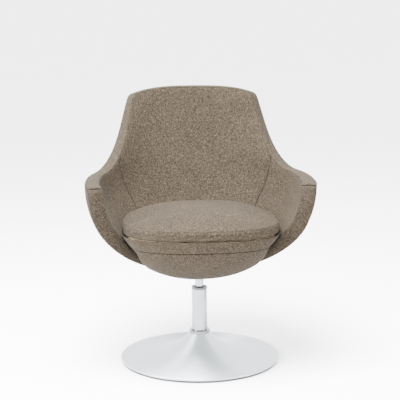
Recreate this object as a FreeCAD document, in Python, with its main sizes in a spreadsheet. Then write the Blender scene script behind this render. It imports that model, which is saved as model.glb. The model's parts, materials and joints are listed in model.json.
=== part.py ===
import FreeCAD, Part

import math
import os
from types import SimpleNamespace

import Sketcher
from FreeCAD import Placement, Rotation, Vector

# A pedestal swivel armchair. The origin is on the floor under the column, +Z is up,
# the chair faces -Y, and +X is on the right of somebody who looks at it from the front.

doc = FreeCAD.newDocument("PedestalSwivelArmchair")

# Driving dimensions, in millimetres where they are lengths
SIZES = (
    # Base
    ("base_radius", 258, "outer radius of the chromed base cover"),
    ("tray_radius", 254, "outer radius of the floor tray"),
    ("tray_height", 8, "height of the rim of the floor tray"),
    ("tray_wall", 10, "thickness of the rim of the floor tray"),
    ("tray_floor", 3, "thickness of the floor tray under the ballast plate"),
    ("ballast_thickness", 6, "thickness of the ballast plate"),
    ("access_radius", 20, "radius of the hole under the column"),
    ("cover_skin", 1.5, "sheet thickness of the base cover"),
    ("cover_rim_height", 14, "height of the nearly flat outer part of the cover"),
    ("cover_flat_radius", 215, "radius where the flare of the cover runs out flat"),
    ("cover_neck_radius", 31, "outer radius of the neck of the cover"),
    ("cover_neck_height", 90, "height of the top of the neck"),
    ("neck_seal_height", 2.5, "height of the dark seal on the neck"),
    ("neck_ring_radius", 34, "outer radius of the neck ring"),
    ("neck_ring_height", 6.5, "height of the neck ring"),
    ("socket_flange_radius", 62, "radius of the flange of the column socket"),
    ("socket_flange_thickness", 6, "thickness of the flange of the column socket"),
    ("socket_wall", 6, "wall of the column socket"),
    ("socket_height", 46, "height of the column socket above the ballast plate"),
    ("socket_bolt_radius", 4, "radius of a socket bolt"),
    ("socket_bolt_circle", 46, "radius of the circle that the socket bolts lie on"),
    # Column
    ("tube_radius", 25, "outer radius of the column tube"),
    ("tube_wall", 2.5, "wall of the column tube"),
    ("tube_top", 236, "height of the top of the column tube"),
    ("bearing_seat_bottom", 40, "height of the underside of the bearing seat"),
    ("bearing_seat_thickness", 18, "thickness of the bearing seat"),
    ("washer_thickness", 2, "thickness of a thrust washer"),
    ("washer_radius", 20, "outer radius of a thrust washer"),
    ("ball_radius", 2.5, "radius of a bearing ball"),
    ("ball_circle", 15, "radius of the circle of the bearing balls"),
    ("running_fit", 0.05, "clearance between faces that turn on each other"),
    ("bush_length", 38, "length of the upper bush inside the tube"),
    ("lower_bush_bottom", 92, "height of the bottom of the lower bush"),
    ("lower_bush_length", 30, "length of the lower bush"),
    ("collar_radius", 25.6, "outer radius of the collar of the upper bush"),
    ("collar_height", 7, "height of the collar of the upper bush"),
    ("collar_dish", 3, "depth of the dish in the collar"),
    ("spindle_radius", 14, "radius of the spindle"),
    ("stud_radius", 8, "radius of the stud under the spindle"),
    ("stud_length", 36, "length of the stud under the spindle"),
    ("taper_length", 42, "length of the taper at the top of the spindle"),
    ("taper_top_radius", 13.2, "radius of the top of the taper"),
    ("clip_thickness", 1.5, "thickness of the retaining clip"),
    ("clip_radius", 13, "outer radius of the retaining clip"),
    ("clip_groove", 1.2, "depth of the groove of the retaining clip"),
    # Seat mounting
    ("hub_wall", 6, "wall of the tapered hub round the spindle"),
    ("plate_width", 120, "width and depth of the seat plate"),
    ("plate_thickness", 4, "thickness of the seat plate"),
    ("plate_corner", 15, "corner radius of the seat plate"),
    ("plate_bolt_place", 38, "distance of a seat bolt from the column axis along X and Y"),
    ("seat_bolt_radius", 3, "radius of a seat bolt"),
    ("bolt_clearance", 0.3, "radial clearance of a bolt in a plain hole"),
    ("seat_bolt_head_radius", 5.5, "head radius of a seat bolt"),
    ("seat_bolt_head_height", 3.3, "head height of a seat bolt"),
    ("seat_washer_radius", 7.5, "outer radius of a washer under a seat bolt"),
    ("seat_washer_thickness", 1.2, "thickness of a washer under a seat bolt"),
    ("tee_nut_flange", 1.5, "thickness of the flange of a tee nut"),
    ("tee_nut_radius", 9, "radius of the flange of a tee nut"),
    ("tee_nut_wall", 1.2, "wall of the barrel of a tee nut"),
    # Bowl under the cushion
    ("bowl_rim_height", 446, "height of the top of the bowl"),
    ("bowl_wide_height", 450, "height where the round of the bowl is widest"),
    ("bowl_drop", 168, "depth of the round of the bowl under its widest ring"),
    ("bowl_half_width", 250, "half width of the bowl"),
    ("bowl_front_reach", 190, "reach of the bowl in front of its own middle"),
    ("bowl_front_power", 1.85, "roundness of the bowl in front of the edges of the shell"),
    ("bowl_front_gap", 12, "gap along Y between the edges of the shell and the full width of the bowl"),
    ("bowl_front_blend", 42, "length over which the bowl widens in front of the shell"),
    ("bowl_rear_reach", 300, "reach of the bowl behind its own middle"),
    ("bowl_top_shift", 95, "how far the middle of the top of the bowl lies in front of the column"),
    ("bowl_low_shift", 20, "how far the middle of the bottom of the bowl lies in front of the column"),
    ("apron_height", 38, "height of the upper band of the bowl cover"),
    ("rod_hole_radius", 18, "radius of the hole for the spindle in the bowl cover"),
    ("pan_floor_height", 304, "height of the underside of the seat pan"),
    ("pan_floor_half", 76, "half width of the floor of the seat pan"),
    ("pan_wall", 9, "ply thickness of the seat pan"),
    ("pan_gap", 15, "room for cloth and foam between the surface of the bowl and the pan"),
    ("cloth_gap", 1.5, "gap between the cloth of the shell and the foam under it"),
    ("bowl_gap", 9, "gap between the bowl cover and the lining of the shell"),
    ("deck_thickness", 10, "thickness of the deck board under the cushion"),
    ("deck_foam", 9, "width of the foam round the edge of the deck board"),
    ("deck_screw_radius", 2, "radius of a deck screw"),
    ("deck_screw_length", 18, "length of a deck screw"),
    # Shell that wraps round the back and the sides
    ("shell_half_width", 360, "half width of the shell at its widest ring"),
    ("shell_wide_height", 600, "height of the widest ring of the shell"),
    ("shell_low_height", 282, "height where the round of the shell would close"),
    ("shell_foot_height", 302, "height of the lower edge of the shell"),
    ("shell_top_height", 866, "height of the middle of the top edge"),
    ("top_half_width", 395, "half width that the flaring section has at the top"),
    ("back_reach", 352, "how far the back lies behind the column at its deepest"),
    ("back_deep_height", 900, "height of the deepest point of the back curve"),
    ("back_curve_height", 622, "height of the back curve"),
    ("section_power", 2.5, "roundness of the plan section of the shell"),
    ("arm_curve_reach", 300, "reach of the plan curve in front of its middle"),
    ("arm_centre_shift", 95, "how far the middle of the plan curve lies forward at the arms"),
    ("top_centre_shift", 10, "how far the middle of the plan curve lies forward at the top"),
    ("shift_low_height", 290, "height where the middle of the plan curve is on the column"),
    ("shift_high_height", 470, "height where the middle has moved all the way forward"),
    ("tip_reach", 215, "how far the arm tips lie in front of the column"),
    ("foot_setback", 20, "how far the foot of the front edge lies behind the column"),
    ("front_sweep_power", 2.75, "how late the front edge sweeps back under the seat"),
    ("arm_height", 606, "height of the arms"),
    ("crown_drop", 26, "drop of the top edge from the middle to the back corners"),
    ("crown_power", 2.2, "shape of the crown of the top edge"),
    ("corner_share", 0.236, "place of the back corners on the way from the middle to the tips"),
    ("corner_height", 843, "height that the sides of the back start from"),
    ("sweep_end_share", 0.62, "place where the sweep of the sides has come down to the arms"),
    ("sweep_power", 2.3, "shape of the sweep of the sides"),
    ("corner_blend", 13, "size of the round at the back corners"),
    ("tip_radius", 16, "round at the top of the arm tips"),
    ("wall", 46, "thickness of the upholstered shell"),
    ("foot_wall", 20, "thickness of the shell at its lower edge"),
    ("wall_low", 300, "height where the shell starts to thicken"),
    ("wall_high", 430, "height where the shell has its full thickness"),
    ("cloth", 1.5, "thickness of cloth with its backing"),
    ("layer_gap", 0.6, "gap between soft layers"),
    ("shell_ply", 9, "ply thickness of the shell"),
    ("ply_setback", 7, "how far the edge of the ply stays back from the edge of its foam"),
    ("outer_foam_share", 0.22, "part of the shell's foam that is outside the ply"),
    ("border_crown", 3, "crown of the border round the edge"),
    ("border_joint_height", 578, "height of the cross seam on the front of the arms"),
    ("seam_top_share", 0.46, "place of the lining's side seams at the edge"),
    ("seam_low_share", 0.38, "place of the lining's side seams at the cushion"),
    ("seam_top_height", 630, "height of the top of the side seams"),
    ("seam_low_height", 480, "height where the side seams meet the cushion"),
    ("shell_screw_height", 345, "height of the shell screws on the outside of the shell"),
    ("shell_screw_radius", 3, "radius of a shell screw"),
    ("shell_screw_head", 6, "head radius of a shell screw"),
    ("shell_screw_head_height", 4, "head height of a shell screw"),
    ("shell_screw_bite", 7, "length of a shell screw in the ply of the shell"),
    ("shell_washer_radius", 8.5, "outer radius of a shell washer"),
    ("shell_washer_thickness", 1.2, "thickness of a shell washer"),
    # Cushion
    ("grip_thickness", 2, "thickness of the grip strips under the cushion"),
    ("grip_width", 25, "width of a grip strip"),
    ("grip_length", 300, "length of a grip strip"),
    ("cushion_half_width", 249, "half width of the cushion"),
    ("cushion_front_reach", 190, "reach of the cushion in front of its middle"),
    ("cushion_middle_shift", 95, "how far the middle of the cushion lies in front of the column"),
    ("cushion_power", 2.6, "roundness of the plan of the cushion"),
    ("cushion_back_gap", 4, "gap between the cushion and the lining of the back"),
    ("cushion_side_height", 30, "height of the side band of the cushion"),
    ("cushion_crown", 32, "rise of the cushion above its upper seam"),
    ("cushion_draw", 4, "how far the seams of the cushion are drawn in"),
    ("cushion_board", 6, "thickness of the board in the cushion"),
)

sheet = doc.addObject("Spreadsheet::Sheet", "Sizes")
for row, (alias, number, meaning) in enumerate(SIZES, start=1):
    sheet.set(f"A{row}", meaning)
    sheet.set(f"B{row}", str(number))
    sheet.setAlias(f"B{row}", alias)
doc.recompute()

dim = SimpleNamespace(**{alias: float(sheet.get(alias)) for alias, number, meaning in SIZES})


class Length:
    """A number together with the formula that binds it to the sheet."""

    def __init__(self, number, text):
        self.number = number
        self.text = text

    def __add__(self, other):
        other = as_length(other)
        return Length(self.number + other.number, f"({self.text} + {other.text})")

    def __radd__(self, other):
        return as_length(other) + self

    def __sub__(self, other):
        other = as_length(other)
        return Length(self.number - other.number, f"({self.text} - {other.text})")

    def __rsub__(self, other):
        return as_length(other) - self

    def __mul__(self, other):
        other = as_length(other)
        return Length(self.number * other.number, f"({self.text} * {other.text})")

    def __rmul__(self, other):
        return as_length(other) * self

    def __truediv__(self, other):
        other = as_length(other)
        return Length(self.number / other.number, f"({self.text} / {other.text})")

    def root(self):
        return Length(math.sqrt(self.number), f"sqrt({self.text})")


def as_length(item):
    return item if isinstance(item, Length) else Length(item, str(item))


size = SimpleNamespace(**{alias: Length(getattr(dim, alias), f"Sizes.{alias}")
                          for alias, number, meaning in SIZES})

pieces = []


def keep(item, label):
    """Names a finished piece and puts it on the list of pieces."""
    item.Label = label
    pieces.append(item)
    return item


def solid_piece(label, shape):
    """Adds a piece whose shape is worked out by the functions of this file."""
    item = doc.addObject("Part::Feature", label)
    item.Shape = shape
    item.Placement = Placement()
    return keep(item, label)


def origin_plane(body, role):
    return next(plane for plane in body.Origin.OriginFeatures if plane.Role == role)


def add_sketch(body, name, role):
    sketch = body.newObject("Sketcher::SketchObject", name)
    sketch.AttachmentSupport = [(origin_plane(body, role), "")]
    sketch.MapMode = "FlatFace"
    return sketch


def bind(sketch, kind, *parts, length, name):
    """Adds a constraint and ties its size to the sheet."""
    index = sketch.addConstraint(Sketcher.Constraint(kind, *parts, length.number))
    sketch.renameConstraint(index, name)
    sketch.setExpression(f"Constraints.{name}", length.text)


def turned(label, corners, arcs=None):
    """Turns a closed outline of (radius, height) corners about the column axis.

    arcs gives the radius and centre of each side that is round, by the number of its first corner.
    """
    body = doc.addObject("PartDesign::Body", label)
    sketch = add_sketch(body, f"{label}_outline", "XZ_Plane")
    arcs = arcs or {}
    corners = [(as_length(radius), as_length(height)) for radius, height in corners]
    places = [Vector(radius.number, height.number, 0) for radius, height in corners]
    ends = {}
    for number, place in enumerate(places):
        following = places[(number + 1) % len(places)]
        if number in arcs:
            radius, centre_radius, centre_height = arcs[number]
            centre = Vector(centre_radius.number, centre_height.number, 0)
            turn_from = math.atan2(place.y - centre.y, place.x - centre.x)
            turn_to = math.atan2(following.y - centre.y, following.x - centre.x)
            forward = (turn_to - turn_from) % (2 * math.pi) < math.pi
            if not forward:
                turn_from, turn_to = turn_to, turn_from
            circle = Part.Circle(centre, Vector(0, 0, 1), radius.number)
            sketch.addGeometry(Part.ArcOfCircle(circle, turn_from, turn_to))
            ends[number] = (1, 2) if forward else (2, 1)
        else:
            sketch.addGeometry(Part.LineSegment(place, following))
            ends[number] = (1, 2)
    for number in range(len(places)):
        after = (number + 1) % len(places)
        sketch.addConstraint(Sketcher.Constraint(
            "Coincident", number, ends[number][1], after, ends[after][0]))
    for number, (radius, height) in enumerate(corners):
        start = ends[number][0]
        if radius.number == 0:
            sketch.addConstraint(Sketcher.Constraint("PointOnObject", number, start, -2))
        else:
            bind(sketch, "DistanceX", number, start, length=radius, name=f"radius_{number}")
        if height.number == 0:
            sketch.addConstraint(Sketcher.Constraint("PointOnObject", number, start, -1))
        else:
            bind(sketch, "DistanceY", number, start, length=height, name=f"height_{number}")
    for number, (radius, centre_radius, centre_height) in arcs.items():
        bind(sketch, "Radius", number, length=radius, name=f"round_{number}")
    turning = body.newObject("PartDesign::Revolution", f"{label}_turning")
    turning.Profile = sketch
    turning.ReferenceAxis = (sketch, ["V_Axis"])
    turning.Angle = 360
    body.Tip = turning
    return body


def ring(label, inner, outer, low, high):
    return turned(label, [(inner, low), (outer, low), (outer, high), (inner, high)])


def cylinder(radius, low, high, place=(0, 0)):
    return Part.makeCylinder(radius, high - low, Vector(place[0], place[1], low))


def drilled(blank, label, tool_shape):
    """Cuts a compound of bores out of a blank, as one step of the document."""
    tool = doc.addObject("Part::Feature", f"{label}_bores")
    tool.Shape = tool_shape
    cut = doc.addObject("Part::Cut", label)
    cut.Base = blank
    cut.Tool = tool
    return cut


def round_places(count, circle, first_turn=0.0):
    turns = [math.radians(first_turn) + 2 * math.pi * number / count for number in range(count)]
    return [(circle * math.cos(turn), circle * math.sin(turn)) for turn in turns]


# Floor tray and ballast plate
plate_top = size.tray_floor + size.ballast_thickness
tray_inside = size.tray_radius - size.tray_wall
floor_tray = turned("floor_tray", [
    (0, 0),
    (size.tray_radius, 0),
    (size.tray_radius, size.tray_height),
    (tray_inside, size.tray_height),
    (tray_inside, size.tray_floor),
    (0, size.tray_floor),
])
keep(floor_tray, "floor_tray")

# The socket bolts come up through the ballast plate and hold the column socket
SOCKET_BOLTS = 4
HEAD_SPREAD = 1.9
bolt_places = round_places(SOCKET_BOLTS, dim.socket_bolt_circle, 45)
bolt_head_height = 0.6 * dim.ballast_thickness
bolt_top = plate_top.number + dim.socket_flange_thickness


def socket_bolt(place):
    low = dim.tray_floor
    head = Part.makeCone(dim.socket_bolt_radius * HEAD_SPREAD, dim.socket_bolt_radius,
                         bolt_head_height, Vector(place[0], place[1], low))
    shank = cylinder(dim.socket_bolt_radius, low + bolt_head_height, bolt_top, place)
    drive = cylinder(0.6 * dim.socket_bolt_radius, low, low + 0.6 * bolt_head_height, place)
    return head.fuse(shank).removeSplitter(), drive


socket_bolts = [socket_bolt(place) for place in bolt_places]
bolt_bores = Part.makeCompound([whole for whole, drive in socket_bolts])
plate_blank = ring("ballast_blank", size.access_radius, tray_inside, size.tray_floor, plate_top)
keep(drilled(plate_blank, "ballast_plate", bolt_bores), "ballast_plate")
solid_piece("socket_bolts", Part.makeCompound([whole.cut(drive) for whole, drive in socket_bolts]))

flange_top = plate_top + size.socket_flange_thickness
socket_outside = size.tube_radius + size.socket_wall
socket_top = plate_top + size.socket_height
socket_blank = turned("socket_blank", [
    (size.tube_radius, plate_top),
    (size.socket_flange_radius, plate_top),
    (size.socket_flange_radius, flange_top),
    (socket_outside, flange_top),
    (socket_outside, socket_top),
    (size.tube_radius, socket_top),
])
keep(drilled(socket_blank, "column_socket", bolt_bores), "column_socket")

# Base cover: a round flare from the neck, a nearly flat skirt and a rim curled in under it
RIM_ROUND = 3
flare_rise = size.cover_neck_height - size.cover_rim_height
flare_run = size.cover_flat_radius - size.cover_neck_radius
flare_radius = (flare_run * flare_run + flare_rise * flare_rise) / (2 * flare_rise)
flare_centre = (size.cover_flat_radius, size.cover_rim_height + flare_radius)
inner_flare = flare_radius + size.cover_skin
neck_underside = size.cover_neck_height - size.cover_skin
inner_drop = flare_centre[1] - neck_underside
inner_neck = size.cover_flat_radius - (inner_flare * inner_flare - inner_drop * inner_drop).root()
rim_round = as_length(RIM_ROUND)
rim_inner_round = rim_round - size.cover_skin
rim_centre = (size.base_radius - rim_round, size.cover_rim_height - rim_round)
base_cover = turned(
    "base_cover",
    [
        (size.tube_radius, neck_underside),
        (inner_neck, neck_underside),
        (size.cover_flat_radius, size.cover_rim_height - size.cover_skin),
        (rim_centre[0], size.cover_rim_height - size.cover_skin),
        (size.base_radius - size.cover_skin, rim_centre[1]),
        (size.base_radius - size.cover_skin, size.tray_height + size.cover_skin),
        (tray_inside, size.tray_height + size.cover_skin),
        (tray_inside, size.tray_height),
        (size.base_radius, size.tray_height),
        (size.base_radius, rim_centre[1]),
        (rim_centre[0], size.cover_rim_height),
        (size.cover_flat_radius, size.cover_rim_height),
        (size.cover_neck_radius, size.cover_neck_height),
        (size.tube_radius, size.cover_neck_height),
    ],
    arcs={
        1: (inner_flare, *flare_centre),
        3: (rim_inner_round, *rim_centre),
        9: (rim_round, *rim_centre),
        11: (flare_radius, *flare_centre),
    },
)
keep(base_cover, "base_cover")

# Neck seal and neck ring round the foot of the tube
NECK_GROOVE = 1.2
seal_top = size.cover_neck_height + size.neck_seal_height
neck_ring_top = seal_top + size.neck_ring_height
keep(ring("neck_seal", size.tube_radius, size.cover_neck_radius + NECK_GROOVE,
          size.cover_neck_height, seal_top), "neck_seal")
neck_ring = turned("neck_ring", [
    (size.tube_radius, seal_top),
    (size.neck_ring_radius, seal_top),
    (size.neck_ring_radius, seal_top + 0.4 * size.neck_ring_height),
    (size.neck_ring_radius - NECK_GROOVE, seal_top + 0.5 * size.neck_ring_height),
    (size.neck_ring_radius, seal_top + 0.6 * size.neck_ring_height),
    (size.neck_ring_radius, neck_ring_top - NECK_GROOVE),
    (size.neck_ring_radius - NECK_GROOVE, neck_ring_top),
    (size.tube_radius, neck_ring_top),
])
keep(neck_ring, "neck_ring")

# Column tube with its bearing seat and bushes
tube_bore = size.tube_radius - size.tube_wall
keep(ring("column_tube", tube_bore, size.tube_radius, plate_top, size.tube_top), "column_tube")
seat_top = size.bearing_seat_bottom + size.bearing_seat_thickness
keep(ring("bearing_seat", size.stud_radius + size.running_fit, tube_bore,
          size.bearing_seat_bottom, seat_top), "bearing_seat")
spindle_bore = size.spindle_radius + size.running_fit
keep(ring("lower_bush", spindle_bore, tube_bore, size.lower_bush_bottom,
          size.lower_bush_bottom + size.lower_bush_length), "lower_bush")
COLLAR_LIP = 2
collar_top = size.tube_top + size.collar_height
upper_bush = turned("upper_bush", [
    (spindle_bore, size.tube_top - size.bush_length),
    (tube_bore, size.tube_top - size.bush_length),
    (tube_bore, size.tube_top),
    (size.collar_radius, size.tube_top),
    (size.collar_radius, collar_top),
    (size.collar_radius - COLLAR_LIP, collar_top),
    (spindle_bore + COLLAR_LIP, collar_top - size.collar_dish),
    (spindle_bore, collar_top - size.collar_dish),
])
keep(upper_bush, "upper_bush")

# Thrust bearing between the bearing seat and the shoulder of the spindle
BALLS = 10
CAGE_CLEARANCE = 0.2
lower_washer_top = seat_top + size.washer_thickness
ball_height = lower_washer_top + size.ball_radius
washer_bore = size.ball_circle - 2 * size.ball_radius
keep(ring("lower_thrust_washer", washer_bore, size.washer_radius, seat_top, lower_washer_top),
     "lower_thrust_washer")
ball_places = round_places(BALLS, dim.ball_circle)
balls = [Part.makeSphere(dim.ball_radius, Vector(x, y, ball_height.number)) for x, y in ball_places]
solid_piece("bearing_balls", Part.makeCompound(balls))
cage_half = 0.4 * size.ball_radius
cage_reach = 1.5 * size.ball_radius
cage_blank = ring("cage_blank", size.ball_circle - cage_reach, size.ball_circle + cage_reach,
                  ball_height - cage_half, ball_height + cage_half)
cage_holes = [cylinder(dim.ball_radius + CAGE_CLEARANCE, lower_washer_top.number,
                       lower_washer_top.number + 2 * dim.ball_radius, place)
              for place in ball_places]
keep(drilled(cage_blank, "bearing_cage", Part.makeCompound(cage_holes)), "bearing_cage")
upper_washer_bottom = ball_height + size.ball_radius + size.running_fit
shoulder = upper_washer_bottom + size.washer_thickness
keep(ring("upper_thrust_washer", size.stud_radius, size.washer_radius, upper_washer_bottom, shoulder),
     "upper_thrust_washer")

# Spindle with its stud, retaining washer and clip
plate_bottom = size.pan_floor_height - size.plate_thickness
hub_bottom = plate_bottom - 0.3 * size.taper_length
hub_top = hub_bottom + size.taper_length
keeper_top = size.bearing_seat_bottom - size.running_fit
clip_top = keeper_top - size.washer_thickness
clip_bottom = clip_top - size.clip_thickness
groove_radius = size.stud_radius - size.clip_groove
spindle = turned("spindle", [
    (0, shoulder - size.stud_length),
    (size.stud_radius, shoulder - size.stud_length),
    (size.stud_radius, clip_bottom),
    (groove_radius, clip_bottom),
    (groove_radius, clip_top),
    (size.stud_radius, clip_top),
    (size.stud_radius, shoulder),
    (size.spindle_radius, shoulder),
    (size.spindle_radius, hub_bottom),
    (size.taper_top_radius, hub_top),
    (0, hub_top),
])
keep(spindle, "spindle")
keep(ring("retaining_washer", size.stud_radius, size.clip_radius, clip_top, keeper_top),
     "retaining_washer")
clip_blank = ring("clip_blank", groove_radius, size.clip_radius, clip_bottom, clip_top)
clip_mouth = doc.addObject("Part::Box", "clip_mouth")
clip_mouth.setExpression("Length", size.clip_radius.text)
clip_mouth.setExpression("Width", size.stud_radius.text)
clip_mouth.setExpression("Height", size.clip_thickness.text)
clip_mouth.setExpression("Placement.Base.y", (0 - 0.5 * size.stud_radius).text)
clip_mouth.setExpression("Placement.Base.z", clip_bottom.text)
retaining_clip = doc.addObject("Part::Cut", "retaining_clip")
retaining_clip.Base = clip_blank
retaining_clip.Tool = clip_mouth
keep(retaining_clip, "retaining_clip")

# Seat plate with the tapered hub that sits on the spindle
hub_outside = size.spindle_radius + size.hub_wall
taper_hub = turned("taper_hub", [
    (size.spindle_radius, hub_bottom),
    (hub_outside, hub_bottom),
    (hub_outside, hub_top),
    (size.taper_top_radius, hub_top),
])
keep(taper_hub, "taper_hub")


def seat_plate():
    body = doc.addObject("PartDesign::Body", "seat_plate")
    sketch = add_sketch(body, "seat_plate_outline", "XY_Plane")
    half = size.plate_width / 2
    reach = half.number
    corners = [Vector(-reach, -reach, 0), Vector(reach, -reach, 0),
               Vector(reach, reach, 0), Vector(-reach, reach, 0)]
    for number in range(4):
        sketch.addGeometry(Part.LineSegment(corners[number], corners[(number + 1) % 4]))
    for number in range(4):
        sketch.addConstraint(Sketcher.Constraint("Coincident", number, 2, (number + 1) % 4, 1))
    for number, direction in enumerate(("Horizontal", "Vertical", "Horizontal", "Vertical")):
        sketch.addConstraint(Sketcher.Constraint(direction, number))
    sketch.addConstraint(Sketcher.Constraint("Symmetric", 0, 1, 1, 2, -1, 1))
    bind(sketch, "DistanceX", 0, 1, 0, 2, length=size.plate_width, name="width")
    bind(sketch, "DistanceY", 1, 1, 1, 2, length=size.plate_width, name="depth")
    hub_hole = sketch.addGeometry(Part.Circle(Vector(), Vector(0, 0, 1), hub_outside.number))
    sketch.addConstraint(Sketcher.Constraint("Coincident", hub_hole, 3, -1, 1))
    bind(sketch, "Radius", hub_hole, length=hub_outside, name="hub_hole")
    bolt_hole = size.seat_bolt_radius + size.bolt_clearance
    for number, (x, y) in enumerate(((1, 1), (-1, 1), (-1, -1), (1, -1))):
        middle = Vector(x * dim.plate_bolt_place, y * dim.plate_bolt_place, 0)
        hole = sketch.addGeometry(Part.Circle(middle, Vector(0, 0, 1), bolt_hole.number))
        bind(sketch, "DistanceX", hole, 3, length=x * size.plate_bolt_place, name=f"bolt_x_{number}")
        bind(sketch, "DistanceY", hole, 3, length=y * size.plate_bolt_place, name=f"bolt_y_{number}")
        bind(sketch, "Radius", hole, length=bolt_hole, name=f"bolt_hole_{number}")
    pad = body.newObject("PartDesign::Pad", "seat_plate_pad")
    pad.Profile = sketch
    pad.setExpression("Length", size.plate_thickness.text)
    doc.recompute()
    upright = [f"Edge{number}" for number, edge in enumerate(pad.Shape.Edges, start=1)
               if edge.Length == max(edge.Vertexes[0].Point[2], edge.Vertexes[-1].Point[2])
               and abs(edge.Vertexes[0].Point[0]) > 0.9 * reach
               and abs(edge.Vertexes[0].Point[1]) > 0.9 * reach
               and edge.Vertexes[0].Point[2] != edge.Vertexes[-1].Point[2]]
    fillet = body.newObject("PartDesign::Fillet", "seat_plate_corners")
    fillet.Base = (pad, upright)
    fillet.setExpression("Radius", size.plate_corner.text)
    body.Tip = fillet
    body.setExpression("Placement.Base.z", plate_bottom.text)
    return body


keep(seat_plate(), "seat_plate")

# Seat bolts from below, each with a washer, into tee nuts on the floor of the pan
pan_floor_top = dim.pan_floor_height + dim.pan_wall
seat_bolt_places = [(x * dim.plate_bolt_place, y * dim.plate_bolt_place)
                    for x, y in ((1, 1), (-1, 1), (-1, -1), (1, -1))]
seat_washer_bottom = plate_bottom.number - dim.seat_washer_thickness
tee_barrel_radius = dim.seat_bolt_radius + dim.tee_nut_wall
tee_barrel_bottom = dim.pan_floor_height + 0.25 * dim.pan_wall


def seat_bolt(place):
    head_bottom = seat_washer_bottom - dim.seat_bolt_head_height
    head = cylinder(dim.seat_bolt_head_radius, head_bottom, seat_washer_bottom, place)
    drive = cylinder(0.6 * dim.seat_bolt_radius, head_bottom,
                     head_bottom + 0.5 * dim.seat_bolt_head_height, place)
    shank = cylinder(dim.seat_bolt_radius, seat_washer_bottom, pan_floor_top + dim.tee_nut_flange, place)
    return head.cut(drive).fuse(shank).removeSplitter()


def seat_washer(place):
    whole = cylinder(dim.seat_washer_radius, seat_washer_bottom, plate_bottom.number, place)
    hole = cylinder(dim.seat_bolt_radius, seat_washer_bottom, plate_bottom.number, place)
    return whole.cut(hole)


def tee_nut(place):
    flange = cylinder(dim.tee_nut_radius, pan_floor_top, pan_floor_top + dim.tee_nut_flange, place)
    barrel = cylinder(tee_barrel_radius, tee_barrel_bottom, pan_floor_top, place)
    thread = cylinder(dim.seat_bolt_radius, tee_barrel_bottom, pan_floor_top + dim.tee_nut_flange, place)
    return flange.fuse(barrel).cut(thread)


solid_piece("seat_bolts", Part.makeCompound([seat_bolt(place) for place in seat_bolt_places]))
solid_piece("seat_washers", Part.makeCompound([seat_washer(place) for place in seat_bolt_places]))
solid_piece("tee_nuts", Part.makeCompound([tee_nut(place) for place in seat_bolt_places]))


# Plan and profile of the shell that wraps round the back and the sides

def ease(share):
    """Runs smoothly from 0 to 1."""
    share = min(max(share, 0.0), 1.0)
    return share * share * (3 - 2 * share)


def shell_half(height):
    if height < dim.shell_wide_height:
        drop = (dim.shell_wide_height - height) / (dim.shell_wide_height - dim.shell_low_height)
        return dim.shell_half_width * math.sqrt(1 - drop ** 2)
    rise = (height - dim.shell_wide_height) / (dim.shell_top_height - dim.shell_wide_height)
    return dim.shell_half_width + (dim.top_half_width - dim.shell_half_width) * rise ** 2


def back_line(height):
    drop = (dim.back_deep_height - height) / dim.back_curve_height
    return dim.back_reach * math.sqrt(1 - drop ** 2)


def centre_line(height):
    if height < dim.shell_wide_height:
        rise = (height - dim.shift_low_height) / (dim.shift_high_height - dim.shift_low_height)
        return -dim.arm_centre_shift * ease(rise)
    rise = (height - dim.shell_wide_height) / (dim.shell_top_height - dim.shell_wide_height)
    return -dim.arm_centre_shift + (dim.arm_centre_shift - dim.top_centre_shift) * ease(rise)


def front_line(height):
    drop = max(0.0, (dim.shell_wide_height - height) / (dim.shell_wide_height - dim.shift_low_height))
    return -dim.tip_reach + (dim.tip_reach + dim.foot_setback) * drop ** dim.front_sweep_power


def front_half(height):
    return dim.arm_curve_reach * shell_half(height) / dim.shell_half_width


def signed_power(value, power):
    return math.copysign(abs(value) ** power, value)


def edge_turn(height):
    """The turn in plan, from +X towards the back, where the front edge of the shell lies."""
    reach = front_line(height) - centre_line(height)
    half = front_half(height) if reach < 0 else back_line(height) - centre_line(height)
    return math.copysign(math.asin(min(1.0, (abs(reach) / half) ** (dim.section_power / 2))), reach)


def shell_outside(share, height):
    """A point of the outer surface: share runs from -1 at the left front edge to 1 at the right one."""
    turn = math.pi / 2 - (math.pi / 2 - edge_turn(height)) * share
    power = 2 / dim.section_power
    reach = back_line(height) - centre_line(height) if math.sin(turn) > 0 else front_half(height)
    return Vector(shell_half(height) * signed_power(math.cos(turn), power),
                  centre_line(height) + reach * signed_power(math.sin(turn), power),
                  height)


SHARE_STEP = 0.0001
HEIGHT_STEP = 0.05


def shell_normal(share, height):
    across = shell_outside(share + SHARE_STEP, height) - shell_outside(share - SHARE_STEP, height)
    up = shell_outside(share, height + HEIGHT_STEP) - shell_outside(share, height - HEIGHT_STEP)
    normal = across.cross(up)
    normal.normalize()
    outward = shell_outside(share, height) - Vector(0, centre_line(height), height)
    return normal if normal.dot(outward) > 0 else -normal


def shell_point(share, height, depth):
    """A point at a depth under the outer surface."""
    return shell_outside(share, height) - shell_normal(share, height) * depth


def wall_at(height):
    rise = (height - dim.wall_low) / (dim.wall_high - dim.wall_low)
    return dim.foot_wall + (dim.wall - dim.foot_wall) * ease(rise)


def edge_width(height):
    """Length on the outer surface of one whole share, beside the front edge."""
    return (shell_outside(1, height) - shell_outside(1 - SHARE_STEP, height)).Length / SHARE_STEP


def top_edge(share):
    """Height of the top edge: a crowned back, round back corners, a sweep down and level arms."""
    share = abs(share)
    crown = dim.shell_top_height - dim.crown_drop * min(share / dim.corner_share, 1.2) ** dim.crown_power
    down = (share - dim.corner_share) / (dim.sweep_end_share - dim.corner_share)
    sweep = dim.arm_height + (dim.corner_height - dim.arm_height) * max(0.0, 1 - down) ** dim.sweep_power
    mix = min(max(0.5 + 0.5 * (sweep - crown) / dim.corner_blend, 0.0), 1.0)
    return sweep + (crown - sweep) * mix - dim.corner_blend * mix * (1 - mix)


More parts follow.
